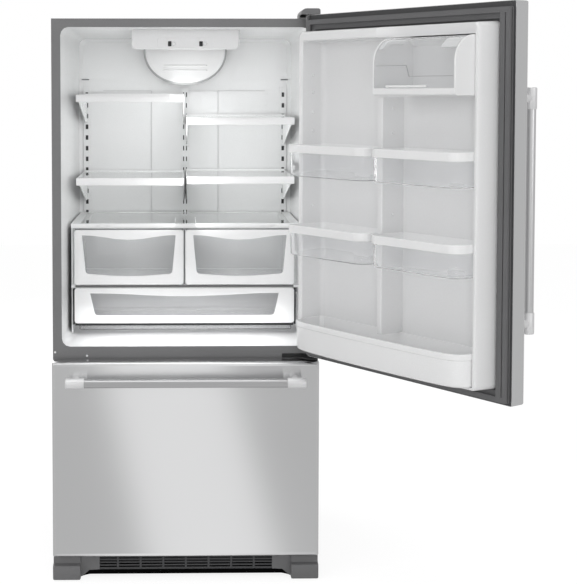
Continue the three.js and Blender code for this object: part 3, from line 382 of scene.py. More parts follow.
def makeFinish(name, facts):
    material = bpy.data.materials.new(name)
    material.use_nodes = True
    tree = material.node_tree
    tree.nodes.clear()
    place = addNode(tree, "ShaderNodeTexCoord").outputs["Object"]
    grainSize = facts["grain"] if isinstance(facts["grain"], tuple) else (facts["grain"],) * 3
    sizes = tuple(1 / size for size in grainSize)
    grainPlace = addNode(tree, "ShaderNodeMapping", sockets={"Vector": place, "Scale": sizes}).outputs[0]
    grain = addNode(
        tree, "ShaderNodeTexNoise", sockets={"Vector": grainPlace, "Scale": 1.0, "Detail": 3.0}
    ).outputs["Fac"]
    # a second, broad noise keeps large faces from looking flat
    broad = addNode(
        tree, "ShaderNodeTexNoise", sockets={"Vector": place, "Scale": 3.1, "Detail": 2.0}
    ).outputs["Fac"]
    wander = maths(
        tree, "ADD", maths(tree, "MULTIPLY", grain, 0.6), maths(tree, "MULTIPLY", broad, 0.4)
    )
    ramp = addNode(tree, "ShaderNodeValToRGB", sockets={"Fac": wander})
    middle, spread = facts["colour"], facts["spread"]
    for stop, position, share in zip(ramp.color_ramp.elements, (0.3, 0.7), (1 - spread, 1 + spread)):
        stop.position = position
        stop.color = (*[min(part * share, 1) for part in middle], 1)
    low, high = facts["roughness"]
    rough = addNode(
        tree,
        "ShaderNodeMapRange",
        sockets={"Value": wander, "From Min": 0.3, "From Max": 0.7, "To Min": low, "To Max": high},
    ).outputs["Result"]
    raised = addNode(
        tree,
        "ShaderNodeBump",
        sockets={"Strength": 1.0, "Distance": facts["bump"], "Height": grain},
    ).outputs["Normal"]
    shader = addNode(
        tree,
        "ShaderNodeBsdfPrincipled",
        sockets={
            "Base Color": ramp.outputs["Color"], "Roughness": rough, "Normal": raised,
            **facts["shader"],
        },
    )
    if "Anisotropic" in facts["shader"]:
        turned = addNode(tree, "ShaderNodeTangent", {"direction_type": "RADIAL", "axis": "Z"})
        tree.links.new(turned.outputs[0], shader.inputs["Tangent"])
    out = addNode(tree, "ShaderNodeOutputMaterial")
    tree.links.new(shader.outputs[0], out.inputs["Surface"])
    if facts["shader"].get("Transmission Weight", 0) > 0.5:
        # light passes clear plastic and glass on its way to what lies behind
        paths = addNode(tree, "ShaderNodeLightPath")
        passing = maths(
            tree, "MAXIMUM", paths.outputs["Is Shadow Ray"], paths.outputs["Is Diffuse Ray"]
        )
        clearWay = addNode(tree, "ShaderNodeBsdfTransparent", sockets={"Color": (*facts["colour"], 1)})
        mixed = addNode(tree, "ShaderNodeMixShader", sockets={"Fac": passing})
        tree.links.new(shader.outputs[0], mixed.inputs[1])
        tree.links.new(clearWay.outputs[0], mixed.inputs[2])
        tree.links.new(mixed.outputs[0], out.inputs["Surface"])
    return material


materials = {name: makeFinish(name, facts) for name, facts in finishes.items()}
slotFinish = {
    "case_paint": "casePaint", "steel": "brushedSteel", "handle_steel": "handleBar",
    "liner_white": "linerWhite", "foam": "foamSkin", "trim_white": "trimWhite",
    "ladder_paint": "ladderEnamel", "clear_plastic": "clearPlastic", "shelf_glass": "shelfGlass",
    "gasket_grey": "gasketGrey", "hinge_cover_grey": "hingeCover", "zinc": "zinc",
    "black_plate": "blackPlate", "grille_dark": "grillePlastic", "frame_dark": "blackPrimer",
    "rubber_black": "blackRubber",
}
slotOf = {part["node"]: part["material_slot"] for part in frame["record"]["subparts"]}
print("finishes made:", len(materials))

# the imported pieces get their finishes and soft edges
edgeRounding = {
    "usual": 0.0007,
    "none": ["back_panel", "base_grille", "cabinet_foam", "door_gasket", "freezer_gasket"],
    "wide": {"crisper_rack": 0.0012, "control_housing": 0.0016},
    "sharpAbove": 34,  # degrees
}
handleCaps = {  # caps lie past these two places along each bar's own axis, numbered from X
    "door_handle": (2, 0.936, 1.475),
    "freezer_handle": (0, 0.083, 0.701),
}
# the freezer handle takes the darker, painted-shade copy of the handle steel
ownFinish = {"freezer_handle": "shadedDrawerBar"}
# the drawer's liner is painted dark where its rim lies outside the gasket, as shade
paintedRimShadeFaces = {"piece": "freezer_panel_liner", "plane": -0.044, "within": 0.0008}


def dressNode(name):
    piece = cadNodes[name]
    mesh = piece.data
    for layer in ("custom_normal", "sharp_edge", "sharp_face"):
        if layer in mesh.attributes:
            mesh.attributes.remove(mesh.attributes[layer])
    mesh.materials.clear()
    mesh.materials.append(materials[ownFinish.get(name, slotFinish[slotOf[name]])])
    mesh.polygons.foreach_set("use_smooth", [True] * len(mesh.polygons))
    if name in handleCaps:
        axis, low, high = handleCaps[name]
        mesh.materials.append(materials["handleCap"])
        for face in mesh.polygons:
            face.material_index = int(not low < face.center[axis] < high)
    if name == paintedRimShadeFaces["piece"]:
        mesh.materials.append(materials["paintedRimShade"])
        for face in mesh.polygons:
            face.material_index = int(abs(face.center.y - paintedRimShadeFaces["plane"]) < paintedRimShadeFaces["within"])
    weld = piece.modifiers.new("weld", "WELD")
    weld.merge_threshold = 1e-5
    if name not in edgeRounding["none"]:
        flat = piece.modifiers.new("flat", "DECIMATE")
        flat.decimate_type = "DISSOLVE"
        flat.angle_limit = math.radians(0.4)
        flat.delimit = {"MATERIAL"}
        bevel = piece.modifiers.new("edges", "BEVEL")
        bevel.width = edgeRounding["wide"].get(name, edgeRounding["usual"])
        bevel.segments = 2
        bevel.limit_method = "ANGLE"
        bevel.angle_limit = math.radians(edgeRounding["sharpAbove"])
        bevel.harden_normals = True
    else:
        split = piece.modifiers.new("edges", "EDGE_SPLIT")
        split.split_angle = math.radians(edgeRounding["sharpAbove"])


for nodeName in cadNodes:
    dressNode(nodeName)
print("packed pieces dressed")

# tools for the scene's own pieces
# They are drawn in the case's millimetres: X 0 is its middle, Y 0 its front flange, Z 0 the floor.
# The door's pieces are drawn closed and then turned open.
doorHinge = {
    "pin": (401.6, -38.2), "open": 124.4, "hole": 4.4, "sockets": ((700, 731), (1727, 1760)),
}
intoRow = Matrix.Scale(0.001, 4) @ Matrix.Translation((392, -30, 0))
doorPin = intoRow @ Vector((*doorHinge["pin"], 0))
doorSwing = Matrix.Rotation(math.radians(doorHinge["open"]), 4, "Z")
doorTurn = Matrix.Translation(doorPin) @ doorSwing @ Matrix.Translation(-doorPin)


# a rectangle with one radius or four, from the low corner round by the second one along a
def roundRect(a, b, radius, steps=4):
    radii = radius if isinstance(radius, (list, tuple)) else (radius,) * 4
    corners = [
        (a[0], b[0], 1, 1, 180), (a[1], b[0], -1, 1, 270),
        (a[1], b[1], -1, -1, 0), (a[0], b[1], 1, -1, 90),
    ]
    outline = []
    for (cornerA, cornerB, signA, signB, start), size in zip(corners, radii):
        size = max(size, 0.02)
        for step in range(steps + 1):
            angle = math.radians(start + 90 * step / steps)
            outline.append((
                cornerA + signA * size + size * math.cos(angle),
                cornerB + signB * size + size * math.sin(angle),
            ))
    return outline


def grown(span, by):
    return (span[0] - by, span[1] + by)


# sections are (place along the axis, outline); an outline's two numbers are Y Z, X Z or X Y
def loft(axis, sections):
    build = bmesh.new()
    rings = []
    for at, outline in sections:
        points = {
            "x": [(at, a, b) for a, b in outline],
            "y": [(a, at, b) for a, b in outline],
            "z": [(a, b, at) for a, b in outline],
        }[axis]
        rings.append([build.verts.new(point) for point in points])
    build.faces.new(rings[0])
    build.faces.new(rings[-1][::-1])
    count = len(rings[0])
    for first, second in zip(rings, rings[1:]):
        for index in range(count):
            after = (index + 1) % count
            build.faces.new((first[index], first[after], second[after], second[index]))
    bmesh.ops.recalc_face_normals(build, faces=build.faces)
    return build


def plate(axis, outline, span):
    return loft(axis, [(span[0], outline), (span[1], outline)])


def block(x, y, z):
    return plate("z", [(x[0], y[0]), (x[1], y[0]), (x[1], y[1]), (x[0], y[1])], z)


def holderOf(build):
    mesh = bpy.data.meshes.new("work")
    build.to_mesh(mesh)
    build.free()
    holder = bpy.data.objects.new("work", mesh)
    scene.collection.objects.link(holder)
    return holder


# joins and cuts solids one after another
def carve(base, *steps):
    holders = [holderOf(base)]
    for operation, tool in steps:
        holders.append(holderOf(tool))
        step = holders[0].modifiers.new("step", "BOOLEAN")
        step.operation = operation
        step.solver = "EXACT"
        step.object = holders[-1]
    graph = bpy.context.evaluated_depsgraph_get()
    carved = bpy.data.meshes.new_from_object(holders[0].evaluated_get(graph))
    build = bmesh.new()
    build.from_mesh(carved)
    bpy.data.meshes.remove(carved)
    for holder in holders:
        mesh = holder.data
        bpy.data.objects.remove(holder)
        bpy.data.meshes.remove(mesh)
    return build


# a profile of (radius, y) from the front's middle round to the back, about an axis along Y
def turned(middle, profile, segments=20):
    build = bmesh.new()
    rings = []
    for radius, y in profile:
        count = segments if radius > 1e-6 else 1
        turns = [2 * math.pi * index / count for index in range(count)]
        points = [
            (middle[0] + radius * math.cos(turn), y, middle[1] + radius * math.sin(turn))
            for turn in turns
        ]
        rings.append([build.verts.new(point) for point in points])
    for first, second in zip(rings, rings[1:]):
        for index in range(segments):
            after = (index + 1) % segments
            corners = [first[index % len(first)], first[after % len(first)]]
            corners += [second[after % len(second)], second[index % len(second)]]
            build.faces.new(list(dict.fromkeys(corners)))
    bmesh.ops.recalc_face_normals(build, faces=build.faces)
    return build


# edge: width of its soft edges in metres; onDoor: drawn closed, to be turned open;
# second: another finish and a test that picks its faces
def finishPiece(
    name, build, finish, body, edge=0.0, onDoor=False, replaced=(), second=None
):
    mesh = bpy.data.meshes.new(name)
    materialsHere = [materials[finish]]
    if second:
        materialsHere.append(materials[second[0]])
        for face in build.faces:
            face.material_index = int(second[1](face.calc_center_median(), face.normal))
    build.transform(doorTurn @ intoRow if onDoor else intoRow)
    bmesh.ops.recalc_face_normals(build, faces=build.faces)
    build.to_mesh(mesh)
    build.free()
    made = bpy.data.objects.new(name, mesh)
    scene.collection.objects.link(made)
    for material in materialsHere:
        mesh.materials.append(material)
    mesh.polygons.foreach_set("use_smooth", [True] * len(mesh.polygons))
    if edge:
        bevel = made.modifiers.new("edges", "BEVEL")
        bevel.width = edge
        bevel.segments = 2
        bevel.limit_method = "ANGLE"
        bevel.angle_limit = math.radians(edgeRounding["sharpAbove"])
        bevel.harden_normals = True
    else:
        split = made.modifiers.new("edges", "EDGE_SPLIT")
        split.split_angle = math.radians(edgeRounding["sharpAbove"])
    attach(made, body)
    if replaced:
        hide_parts(*replaced)
    return made


windowPanes = {
    "offset": 49.6, "height": 1673, "size": (11.2, 16.2), "corner": 2.3, "depth": (113.2, 114.2),
}
for side, sign in (("left", -1), ("right", 1)):
    wide, tall = windowPanes["size"]
    x, z = sign * windowPanes["offset"], windowPanes["height"]
    outline = roundRect(grown((x, x), wide / 2), grown((z, z), tall / 2), windowPanes["corner"])
    pane = plate("y", outline, windowPanes["depth"])
    finishPiece("window_pane_" + side, pane, "displayGlass", "cabinet", 0.0003)

slotShadeBacks = {  # dark backs, painted shade that shows through the ladders' slots
    "left": (-348, 608.7), "centre": (0, 604.7), "right": (348, 608.7),
    "half": 9.9, "height": (1040, 1532), "thickness": 0.7,
}
for side in ("left", "centre", "right"):
    x, y = slotShadeBacks[side]
    outline = roundRect(grown((x, x), slotShadeBacks["half"]), slotShadeBacks["height"], 2)
    strip = plate("y", outline, (y, y + slotShadeBacks["thickness"]))
    finishPiece("slot_shade_back_" + side, strip, "slotPaintedShade", "cabinet", 0.0001)

flangeScrews = {
    "spots": {  # name: X, Z, radius
        "edge": (-407.5, 709.2, 3.4), "left": (-308.1, 697.9, 3.4),
        "lower": (-308.1, 680.4, 2.2), "right": (307.3, 697.3, 3.4),
    },
    "proud": 0.28, "recess": 0.12,
}
for name, (x, z, radius) in flangeScrews["spots"].items():
    proud, recess = flangeScrews["proud"], flangeScrews["recess"]
    profile = [
        (0, -recess), (radius * 0.42, -recess), (radius * 0.5, -proud),
        (radius * 0.86, -proud), (radius, -0.05), (radius, 0.0), (0, 0.0),
    ]
    finishPiece("flange_screw_" + name, turned((x, z), profile), "trimWhite", "cabinet")
print("small pieces placed")

# the door's inner side: u runs from the hinge edge, heights stand above the rim
doorForm = {
    "x": (-412.4, 411.6), "z": (704.5, 1755), "rim": -14, "skin": 1.3, "slabBack": -58,
    "height": 80, "headHeight": 45, "outer": (45, 775), "inner": (68, 758),
    # the dike's sides: height, insets at the hinge, handle, foot and head, corner radius
    "sides": [
        (-4, (0, 0, 0, 0), 18), (1, (0, 0, 0, 0), 18), (71, (4, 4, 3, 4), 17),
        (77, (6, 5.4, 4.4, 6), 16), (80, (9, 8, 7, 9), 14),
    ],
    "outerZ": (741, 1704), "innerZ": (751.6, 1672), "pocket": -16, "fillet": 15,
    "partition": (398, 416), "partitionZ": (841, 1505), "lidClear": (384, 444, 757.9),
}


def uToX(u):
    return doorForm["x"][1] - u


def dikeOutline(outer, outerZ, inset, corner, steps=4):
    x = (uToX(outer[1] - inset[1]), uToX(outer[0] + inset[0]))
    return roundRect(x, (outerZ[0] + inset[2], outerZ[1] - inset[3]), corner, steps)


def makeDoorLiner():
    form = doorForm
    rim, top = form["rim"], form["rim"] + form["height"]
    slabOutline = roundRect(grown(form["x"], -form["skin"]), grown(form["z"], -form["skin"]), 3)
    slab = plate("y", slabOutline, (form["slabBack"], rim))
    dike = loft("y", [
        (rim + height, dikeOutline(form["outer"], form["outerZ"], inset, corner, 6))
        for height, inset, corner in form["sides"]
    ])
    size = form["fillet"]
    sections = []
    for step in range(7):  # a fillet round the pocket's floor
        angle = math.radians(90 * step / 6)
        inset = size - size * math.sin(angle)
        sections.append((form["pocket"] + size - size * math.cos(angle), (inset,) * 4))
    sections.append((top - 3, (0,) * 4))
    sections.append((top + 1, (-3,) * 4))
    pocket = loft("y", [
        (at, dikeOutline(form["inner"], form["innerZ"], inset, 6 + max(inset[0], 0) * 0.3, 4))
        for at, inset in sections
    ])
    # the head stands lower where the dairy lid swings up past it
    near, far, end = form["lidClear"]
    low = rim + form["headHeight"]
    notchOutline = [
        (uToX(near), top + 1), (uToX(far), low), (uToX(end), low), (uToX(end), top + 1),
    ]
    notch = plate("z", notchOutline, (form["innerZ"][1] - 6, 1720))
    wallX, wallZ = (uToX(form["partition"][1]), uToX(form["partition"][0])), form["partitionZ"]
    partition = loft("y", [
        (form["pocket"] - 1, roundRect(wallX, wallZ, 1)),
        (top - 3, roundRect(wallX, wallZ, 1)),
        (top - 1, roundRect(grown(wallX, -1.6), grown(wallZ, -1.6), 1)),
    ])
    (pinX, pinY), hole = doorHinge["pin"], doorHinge["hole"]
    pinOutline = roundRect(grown((pinX, pinX), hole), grown((pinY, pinY), hole), hole - 0.05, 3)
    pinHoles = [("DIFFERENCE", plate("z", pinOutline, z)) for z in doorHinge["sockets"]]
    liner = carve(
        slab,
        ("UNION", dike),
        ("DIFFERENCE", pocket),
        ("UNION", partition),
        ("DIFFERENCE", notch),
        *pinHoles,
    )

    # the rim outside the gasket is painted dark as shade
    def inPaintedRimShade(centre, normal):
        return abs(centre.y - rim) < 0.3 and abs(normal.y) > 0.9

    finishPiece(
        "door_liner_moulding", liner, "linerWhite", "fridge_door", 0.0012, True,
        ["door_liner"], ("paintedRimShade", inPaintedRimShade),
    )


makeDoorLiner()

doorBins = {
    "spans": {"hinge": (68.4, 397.6), "handle": (416.4, 757.6)},
    "rows": {"upper": (1272, 1365), "lower": (1038, 1127)},
    "reach": 139, "rail": 24, "proud": 2.5, "wall": 2.2, "draft": 1.5, "corner": 38,
    "soft": 1.2,
}


def makeDoorBin(row, side):
    facts = doorBins
    z0, z1 = facts["rows"][row]
    u0, u1 = facts["spans"][side]
    x = (uToX(u1), uToX(u0))
    y = (doorForm["pocket"] + 0.3, doorForm["rim"] + facts["reach"])
    rear = (2, 16) if side == "hinge" else (16, 2)
    front = (16, facts["corner"]) if side == "hinge" else (facts["corner"], facts["corner"])

    def tub(draft, wall):
        inset = facts["proud"] + draft + wall
        corners = (rear[0], rear[1], front[0] - wall, front[1] - 2 - wall)
        return roundRect((x[0] + inset, x[1] - inset), (y[0] + wall, y[1] - inset), corners, 8)

    soft = facts["soft"]
    rail = roundRect(x, y, (*rear, *front), 8)
    softer = roundRect(
        grown(x, -soft), (y[0], y[1] - soft), (*rear, *[size - soft for size in front]), 8
    )
    wall, draft = facts["wall"], facts["draft"]
    railLow = z1 - facts["rail"]
    tubBody = carve(
        loft("z", [(z0, tub(draft + 3, 0)), (z0 + 3, tub(draft, 0)), (railLow + 0.5, tub(0.5, 0))]),
        ("DIFFERENCE", loft("z", [
            (z0 + wall, tub(draft + 2, wall)), (z0 + wall + 3, tub(draft, wall)), (z1 + 1, tub(0, wall)),
        ])),
    )
    finishPiece(
        f"door_bin_{row}_{side}_tub", tubBody, "clearPlastic", "fridge_door", 0.0,
        True, [f"door_bin_{row}_{side}"],
    )
    railBody = carve(
        loft("z", [(railLow, softer), (railLow + soft, rail), (z1 - soft, rail), (z1, softer)]),
        ("DIFFERENCE", loft("z", [(railLow - 1, tub(0.5, wall)), (z1 + 1, tub(0, wall))])),
    )
    finishPiece(
        f"door_bin_{row}_{side}_rail", railBody, "trimWhite", "fridge_door", 0.0008, True
    )


for row in doorBins["rows"]:
    for side in doorBins["spans"]:
        makeDoorBin(row, side)

gallonBin = {
    "z": (751.9, 841), "u": (68.4, 757.6), "sideHeight": 76, "bow": 10, "steps": 40, "squareness": 16,
}


# reach: how far its ends' corners stand above the rim; the middle stands out by the bow more
def gallonOutline(inset, reach, rear=0):
    u0, u1 = gallonBin["u"][0] + inset, gallonBin["u"][1] - inset
    back = doorForm["pocket"] + 0.3 + max(inset, rear)
    chamfer = max(doorForm["fillet"] + 1 - max(inset, rear), 1)
    outline = [(uToX(u0 + chamfer), back), (uToX(u0), back + chamfer)]
    for step in range(gallonBin["steps"] + 1):
        # closer together at the corners
        share = (1 - math.cos(math.pi * step / gallonBin["steps"])) / 2
        swell = reach + gallonBin["bow"] * (1 - (2 * share - 1) ** 2)
        shape = math.sqrt(max(1 - (2 * share - 1) ** gallonBin["squareness"], 0))
        side = gallonBin["sideHeight"]
        above = side + (swell - side) * shape - inset
        outline.append((uToX(u0 + (u1 - u0) * share), doorForm["rim"] + above))
    outline += [(uToX(u1), back + chamfer), (uToX(u1 - chamfer), back)]
    return outline


low, high = gallonBin["z"]
gallonBody = carve(
    loft("z", [
        (low, gallonOutline(7, 122, 16)),
        (low + 5, gallonOutline(2.5, 126, 5)),
        (low + 18, gallonOutline(1.6, 128)),
        (high - 17, gallonOutline(1.6, 129)),
        (high - 15, gallonOutline(0.2, 130)),
        (high - 2.5, gallonOutline(0, 130)),
        (high, gallonOutline(2.2, 130)),
    ]),
    ("DIFFERENCE", loft("z", [
        (low + 4, gallonOutline(9, 122, 19)),
        (low + 20, gallonOutline(5, 128)),
        (high - 1, gallonOutline(5.5, 129)),
        (high + 1, gallonOutline(4, 130)),
    ])),
)
finishPiece(
    "door_bin_gallon_moulding", gallonBody, "trimWhite", "fridge_door", 0.0006, True,
    ["door_bin_gallon"],
)
print("door's inner side moulded")

dairy = {  # step: place, upper and lower height; hooks: spans near the handle and the hinge
    "u": (450, 757.6), "z": (1511, 1668), "reach": 150, "round": 70, "wall": 5, "lip": 19,
    "pivot": (36, 1660), "grip": (580, 76), "step": (578, 1591, 1562), "hooks": ((690, 746), (458, 472)),
}
dairyX = (uToX(dairy["u"][1]), uToX(dairy["u"][0]))
dairyFront = doorForm["rim"] + dairy["reach"]
dairyTop = dairy["z"][1]


def dairyCurve(inset, first=90, last=0, steps=12):
    middle, height = dairyFront - dairy["round"], dairyTop - dairy["round"]
    radius = dairy["round"] - inset
    turns = [math.radians(first + (last - first) * step / steps) for step in range(steps + 1)]
    return [(middle + radius * math.cos(turn), height + radius * math.sin(turn)) for turn in turns]


def makeDairy():
    back, low, lip = doorForm["pocket"] + 0.3, dairy["z"][0], dairy["z"][0] + dairy["lip"]
    behind = dairy["pivot"][0] - 6
    side = [(back, low), (back, dairyTop - 16), (back + 16, dairyTop), *dairyCurve(0)]
    side += [(dairyFront, low + 8), (dairyFront - 2.5, low + 2.5), (dairyFront - 8, low)]
    hollow = [
        (back + 3, low + 3), (back + 3, dairyTop - 20), (back + 20, dairyTop - 3),
        (behind, dairyTop - 3), (behind, dairyTop + 5), (dairyFront + 5, dairyTop + 5),
        (dairyFront + 5, lip), (dairyFront - 4, lip), (dairyFront - 4, low + 3),
    ]
    inside = plate("x", hollow, grown(dairyX, -dairy["wall"]))
    case = carve(plate("x", side, dairyX), ("DIFFERENCE", inside))
    finishPiece(
        "dairy_case_moulding", case, "trimWhite", "fridge_door", 0.0012, True,
        ["dairy_case"],
    )
    start = dairy["pivot"][0] - 4.5
    lidX = grown(dairyX, -dairy["wall"] - 0.6)
    lid = [(start, dairyTop - 1.5), *dairyCurve(1.5), (dairyFront - 1.5, lip + 0.6)]
    lid += [(dairyFront - 4, lip + 0.6), *dairyCurve(4)[::-1], (start, dairyTop - 4)]
    finishPiece(
        "dairy_lid_moulding", plate("x", lid, lidX), "lidClear", "dairy_lid", 0.0005,
        True, ["dairy_lid"],
    )
    # white hooks that carry the lid, under its ends
    pivotY, pivotZ = dairy["pivot"]
    hook = [
        (pivotY - 7, pivotZ + 3.4), (pivotY - 7, pivotZ - 6), (pivotY, pivotZ - 9),
        (pivotY + 9, pivotZ - 8),
    ]
    hook += dairyCurve(15, 66, 40, 6) + dairyCurve(4.4, 34, 88, 8)
    for name, (u0, u1) in zip(("handle", "hinge"), dairy["hooks"]):
        shape = plate("x", hook, (uToX(u1), uToX(u0)))
        finishPiece("lid_hook_" + name, shape, "trimWhite", "dairy_lid", 0.0015, True)
    # a thumb grip and a stepped edge on the lid's front
    middle, half = dairy["grip"]
    gripX = (uToX(middle + half), uToX(middle - half))
    gripFoot = roundRect(gripX, (lip + 2, lip + 8), 2.9)
    gripFace = roundRect(grown(gripX, -2), (lip + 3.5, lip + 6.5), 1.4)
    grip = loft("y", [
        (dairyFront - 2, gripFoot), (dairyFront + 2.5, gripFoot), (dairyFront + 4, gripFace),
    ])
    finishPiece("lid_grip", grip, "trimWhite", "dairy_lid", 0.0, True)
    at, upper, lower = dairy["step"]
    edge, y = 1.3, (dairyFront - 5.2, dairyFront - 4.1)
    left, right = lidX[1] - 6, lidX[0] + 6
    path = [
        (left, upper), (uToX(at), upper), (uToX(at + 10), lower), (right, lower),
        (right, lower - edge), (uToX(at + 10) + edge, lower - edge),
        (uToX(at) + edge, upper - edge), (left, upper - edge),
    ]
    finishPiece("lid_step", plate("y", path, y), "stepGrey", "dairy_lid", 0.0, True)


makeDairy()

bosses = {  # what the bins hang on: the walls' u, the heights there and how far above the rim
    "walls": {
        "hinge": (68, (1571, 1519.6, 1459, 1404, 1178)),
        "partition": (416, (1474, 1406.5, 1178)),
    },
    "above": 38, "radius": 5, "proud": 2.4,
}
for wallName, (u, heights) in bosses["walls"].items():
    for count, height in enumerate(heights):
        y, proud = doorForm["rim"] + bosses["above"], bosses["proud"]
        sections = []
        for place, more in ((u + proud, -1), (u + proud - 1, 0), (u - 0.2, 0.4)):
            size = bosses["radius"] + more
            disc = roundRect(grown((y, y), size), grown((height, height), size), size - 0.05)
            sections.append((uToX(place), disc))
        finishPiece(
            f"bin_boss_{wallName}_{count + 1}", loft("x", sections), "linerWhite",
            "fridge_door", 0.0, True,
        )

doorStop = {"u": (0.4, 6.4), "above": (0, 11), "z": (1698, 1752)}
stopBody = block(
    (uToX(doorStop["u"][1]), uToX(doorStop["u"][0])),
    (doorForm["rim"] + doorStop["above"][0], doorForm["rim"] + doorStop["above"][1]), doorStop["z"],
)
finishPiece("door_stop", stopBody, "hingeCover", "fridge_door", 0.0012, True)

# sections: Y, how much narrower, corner radius
gasketLip = {
    "x": (-386, -368), "z": (725, 1726),
    "sections": [(-13.8, 3, 1), (-9.8, 3, 1), (-7.8, 0, 2), (-1.5, 0, 2), (-0.5, 1, 2)],
}
lip = loft("y", [
    (y, roundRect(grown(gasketLip["x"], -less), gasketLip["z"], corner))
    for y, less, corner in gasketLip["sections"]
])
finishPiece("gasket_lip", lip, "gasketGrey", "fridge_door", 0.0, True)
print("dairy compartment and small door pieces placed")

# drawer fronts and the light shield
drawerFronts = {  # X and Z spans; window: left, right, top, its dip, low, taper, sag
    "y": (168, 176), "corner": 9,
    "crisper_left": ((-360, -6.4), (896, 1074), (-335, -32, 1057, 15, 931, 13, 7)),
    "crisper_right": ((-0.4, 353.2), (896, 1074), (25.2, 328.2, 1057, 15, 931, 13, 7)),
    "deli": ((-360, 353.2), (770, 885), (-309, 303, 868, 10, 796, 16, 1)),
}


# a window with a dipping top edge and sides that run in toward the bottom
def waveOutline(x0, x1, top, dip, low, taper, sag, corner=10, steps=14):
    a, b = x0 + taper, x1 - taper
    lowSide, lowEnd = low + corner * 0.45, low + 1.2
    outline = [(a - 2, low + corner), (a, lowSide), (a + corner * 0.4, lowEnd)]
    for step in range(steps + 1):
        share = step / steps
        along = a + corner + (b - a - 2 * corner) * share
        outline.append((along, low - sag * math.sin(math.pi * share)))
    outline += [(b - corner * 0.4, lowEnd), (b, lowSide), (b + 2, low + corner)]
    for step in range(steps + 1):
        share = step / steps
        outline.append((x1 + (x0 - x1) * share, top - dip * math.sin(math.pi * share) ** 2))
    return outline


for name in ("crisper_left", "crisper_right", "deli"):
    x, z, window = drawerFronts[name]
    y = drawerFronts["y"]
    corner = drawerFronts["corner"]
    front = carve(
        loft("y", [
            (y[0], roundRect(grown(x, -1.6), grown(z, -1.6), corner - 1.6, 6)),
            (y[0] + 0.5, roundRect(grown(x, -0.5), grown(z, -0.5), corner - 0.5, 6)),
            (y[0] + 1.8, roundRect(x, z, corner, 6)), (y[1], roundRect(x, z, corner, 6)),
        ]),
        ("DIFFERENCE", plate("y", waveOutline(*window), grown(y, 1))),
    )
    node = {"deli": "deli_front"}.get(name, name.replace("crisper", "crisper_front"))
    body = {"deli": "deli_drawer"}.get(name, name)
    finishPiece(node + "_moulding", front, "trimWhite", body, 0.0012, False, [node])

# black strips round the deli drawer's front, painted shadow in the gaps there
deliShadowStrips = {
    "below": ((-358, 351), (762.5, 771)), "left": ((-365.4, -359), (766, 884)),
    "right": ((352, 358.6), (766, 884)), "y": (171, 175.6), "corner": 1.6,
}
for name in ("below", "left", "right"):
    x, z = deliShadowStrips[name]
    shadowStrip = plate("y", roundRect(x, z, deliShadowStrips["corner"]), deliShadowStrips["y"])
    finishPiece("deli_seal_" + name, shadowStrip, "blackPlate", "deli_drawer", 0.0006)

paintedGapShades = {  # X, Y and Z spans of the painted shade in the gaps between the fronts and over the ladders
    "fronts_gap": ((-5, -1.8), (173.5, 176), (897, 1073)),
    "deli_gap": ((-357, 351), (171.6, 174), (887.6, 893.6)),
    "cover_gap": ((-357, 351), (171.4, 174), (1075.2, 1077.6)),
    "ladder_top_left": ((-366, -340), (605, 609.5), (1562.5, 1565.5)),
    "ladder_top_right": ((340, 366), (605, 609.5), (1562.5, 1565.5)),
}
for name, spans in paintedGapShades.items():
    finishPiece(name, block(*spans), "gapPaintedShade", "cabinet")

ductEdge = {  # grey lines of painted shade along the edges of the raised air duct on the back wall
    "column": (-118.7, 116.4), "shoulder": (-290, 284), "z": (1092, 1524), "y": (606.4, 609),
    "width": 1.6,
}
for name, x, end in zip(("left", "right"), ductEdge["column"], ductEdge["shoulder"]):
    width, y, (low, high) = ductEdge["width"], ductEdge["y"], ductEdge["z"]
    upright = block(grown((x, x), width / 2), y, (low, high))
    finishPiece("duct_edge_" + name, upright, "creasePaintedShade", "cabinet")
    across = block((min(x, end), max(x, end)), y, (high, high + width))
    finishPiece("duct_shoulder_" + name, across, "creasePaintedShade", "cabinet")

toe = {  # profile: the foot cover's Y and Z; wing: X and Z of its flat end; notch: its screw's
    "profile": [
        (-0.3, 2), (-44, 2), (-48.2, 3.8), (-50, 8), (-50, 40), (-49, 44), (-46, 47), (-30, 50),
        (-28, 54), (-27, 76), (-0.3, 76),
    ],
    "z": (2, 76), "x": (328, 413.8), "round": 5,
    "wing": [(330, 4), (324, 6), (302, 25), (270, 26.5), (270, 75), (330, 75)],
    "wingY": (-21.4, -17), "notch": ((283.5, 292), (66, 76)),
    "shadow": ((-318, 318), (-20.9, -17), (12.5, 26.5)),
}


def shrunk(profile, by):
    low, high = toe["z"]
    return [(y + by if y < -1 else y, min(max(z, low + by), high - by)) for y, z in profile]


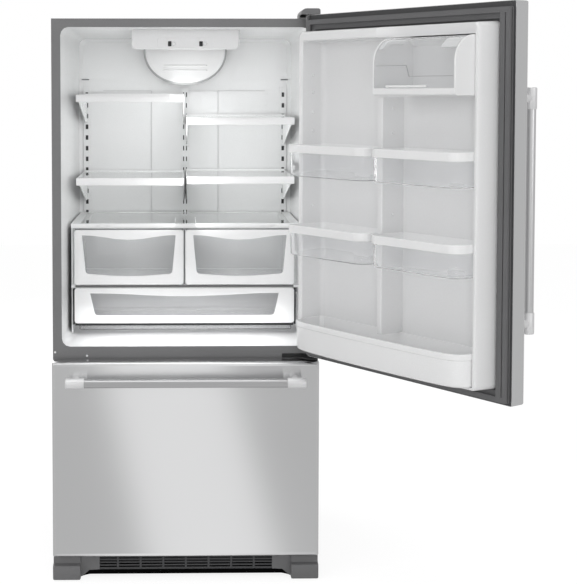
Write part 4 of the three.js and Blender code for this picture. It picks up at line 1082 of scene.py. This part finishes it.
for name, side in (("left", -1), ("right", 1)):
    inner, outer = toe["x"]
    by, soft = toe["round"], toe["round"] * 0.3
    spots = [
        (inner, by), (inner + soft, soft), (inner + by, 0),
        (outer - by, 0), (outer - soft, soft), (outer, by),
    ]
    sections = [(side * x, shrunk(toe["profile"], inset)) for x, inset in spots]
    cover = loft("x", sections if side > 0 else sections[::-1])
    finishPiece(
        f"foot_cover_{name}_moulding", cover, "hingeCover", "cabinet", 0.0, False,
        ["foot_cover_" + name],
    )
    wing = [(side * x, z) for x, z in toe["wing"]]
    x0, x1 = sorted(side * x for x in toe["notch"][0])
    wingShape = carve(
        plate("y", wing if side < 0 else wing[::-1], toe["wingY"]),
        ("DIFFERENCE", block((x0, x1), grown(toe["wingY"], 1), toe["notch"][1])),
    )
    finishPiece("foot_wing_" + name, wingShape, "hingeCover", "cabinet", 0.0008)
# a black block that paints the shadow under the grille's lower edge
finishPiece("toe_shadow", block(*toe["shadow"]), "toePaintedShadow", "cabinet")

shield = {  # band: how far back its front stays white, behind which its sides are painted grey as shade; power: 1 makes it an ellipse
    "y": (318, 596), "half": 139, "top": 1659, "drop": 115, "roof": 1704, "wall": 3,
    "ribs": (1592, 1608), "power": 0.93, "band": 6,
    "front": [(0, -16), (1.5, -11), (5, -6.6), (10, -2), (16, 0)],  # how far back, how much wider
}


def shieldOutline(by, steps=36):
    outline = []
    for step in range(steps + 1):
        turn = math.pi + math.pi * step / steps
        sideways = math.copysign(abs(math.cos(turn)) ** shield["power"], math.cos(turn))
        fall = abs(math.sin(turn)) ** shield["power"]
        outline.append(((shield["half"] + by) * sideways, shield["top"] - (shield["drop"] + by) * fall))
    return outline + [(shield["half"] + by, shield["roof"]), (-shield["half"] - by, shield["roof"])]


# the bowl's side faces, painted grey as shade
def inShieldPaintedShade(centre, normal):
    return centre.y > shield["y"][0] + shield["band"] and abs(normal.y) < 0.97


near, far = shield["y"]
wall, frontDepth = shield["wall"], shield["front"][-1][0]
bowlSections = [(near + depth, shieldOutline(wider)) for depth, wider in shield["front"]]
bowl = carve(
    loft("y", [*bowlSections, (far, shieldOutline(0))]),
    ("DIFFERENCE", plate("y", shieldOutline(-wall - 13), (near + wall, near + frontDepth))),
    ("DIFFERENCE", plate("y", shieldOutline(-wall), (near + frontDepth, far + 1))),
)
finishPiece(
    "light_shield_bowl", bowl, "shieldWhite", "cabinet", 0.0, False, ["light_shield"],
    ("shieldPaintedShade", inShieldPaintedShade),
)
for count, height in enumerate(shield["ribs"]):
    rib = loft("y", [
        (near + 0.5, roundRect((-74, 74), (height - 2.4, height + 2.4), 2.3)),
        (near - 1, roundRect((-73, 73), (height - 1.8, height + 1.8), 1.7)),
        (near - 2.4, roundRect((-70, 70), (height - 0.6, height + 0.6), 0.5)),
    ])
    finishPiece(f"shield_rib_{count + 1}", rib, "shieldWhite", "cabinet")
print("drawer fronts and light shield placed")
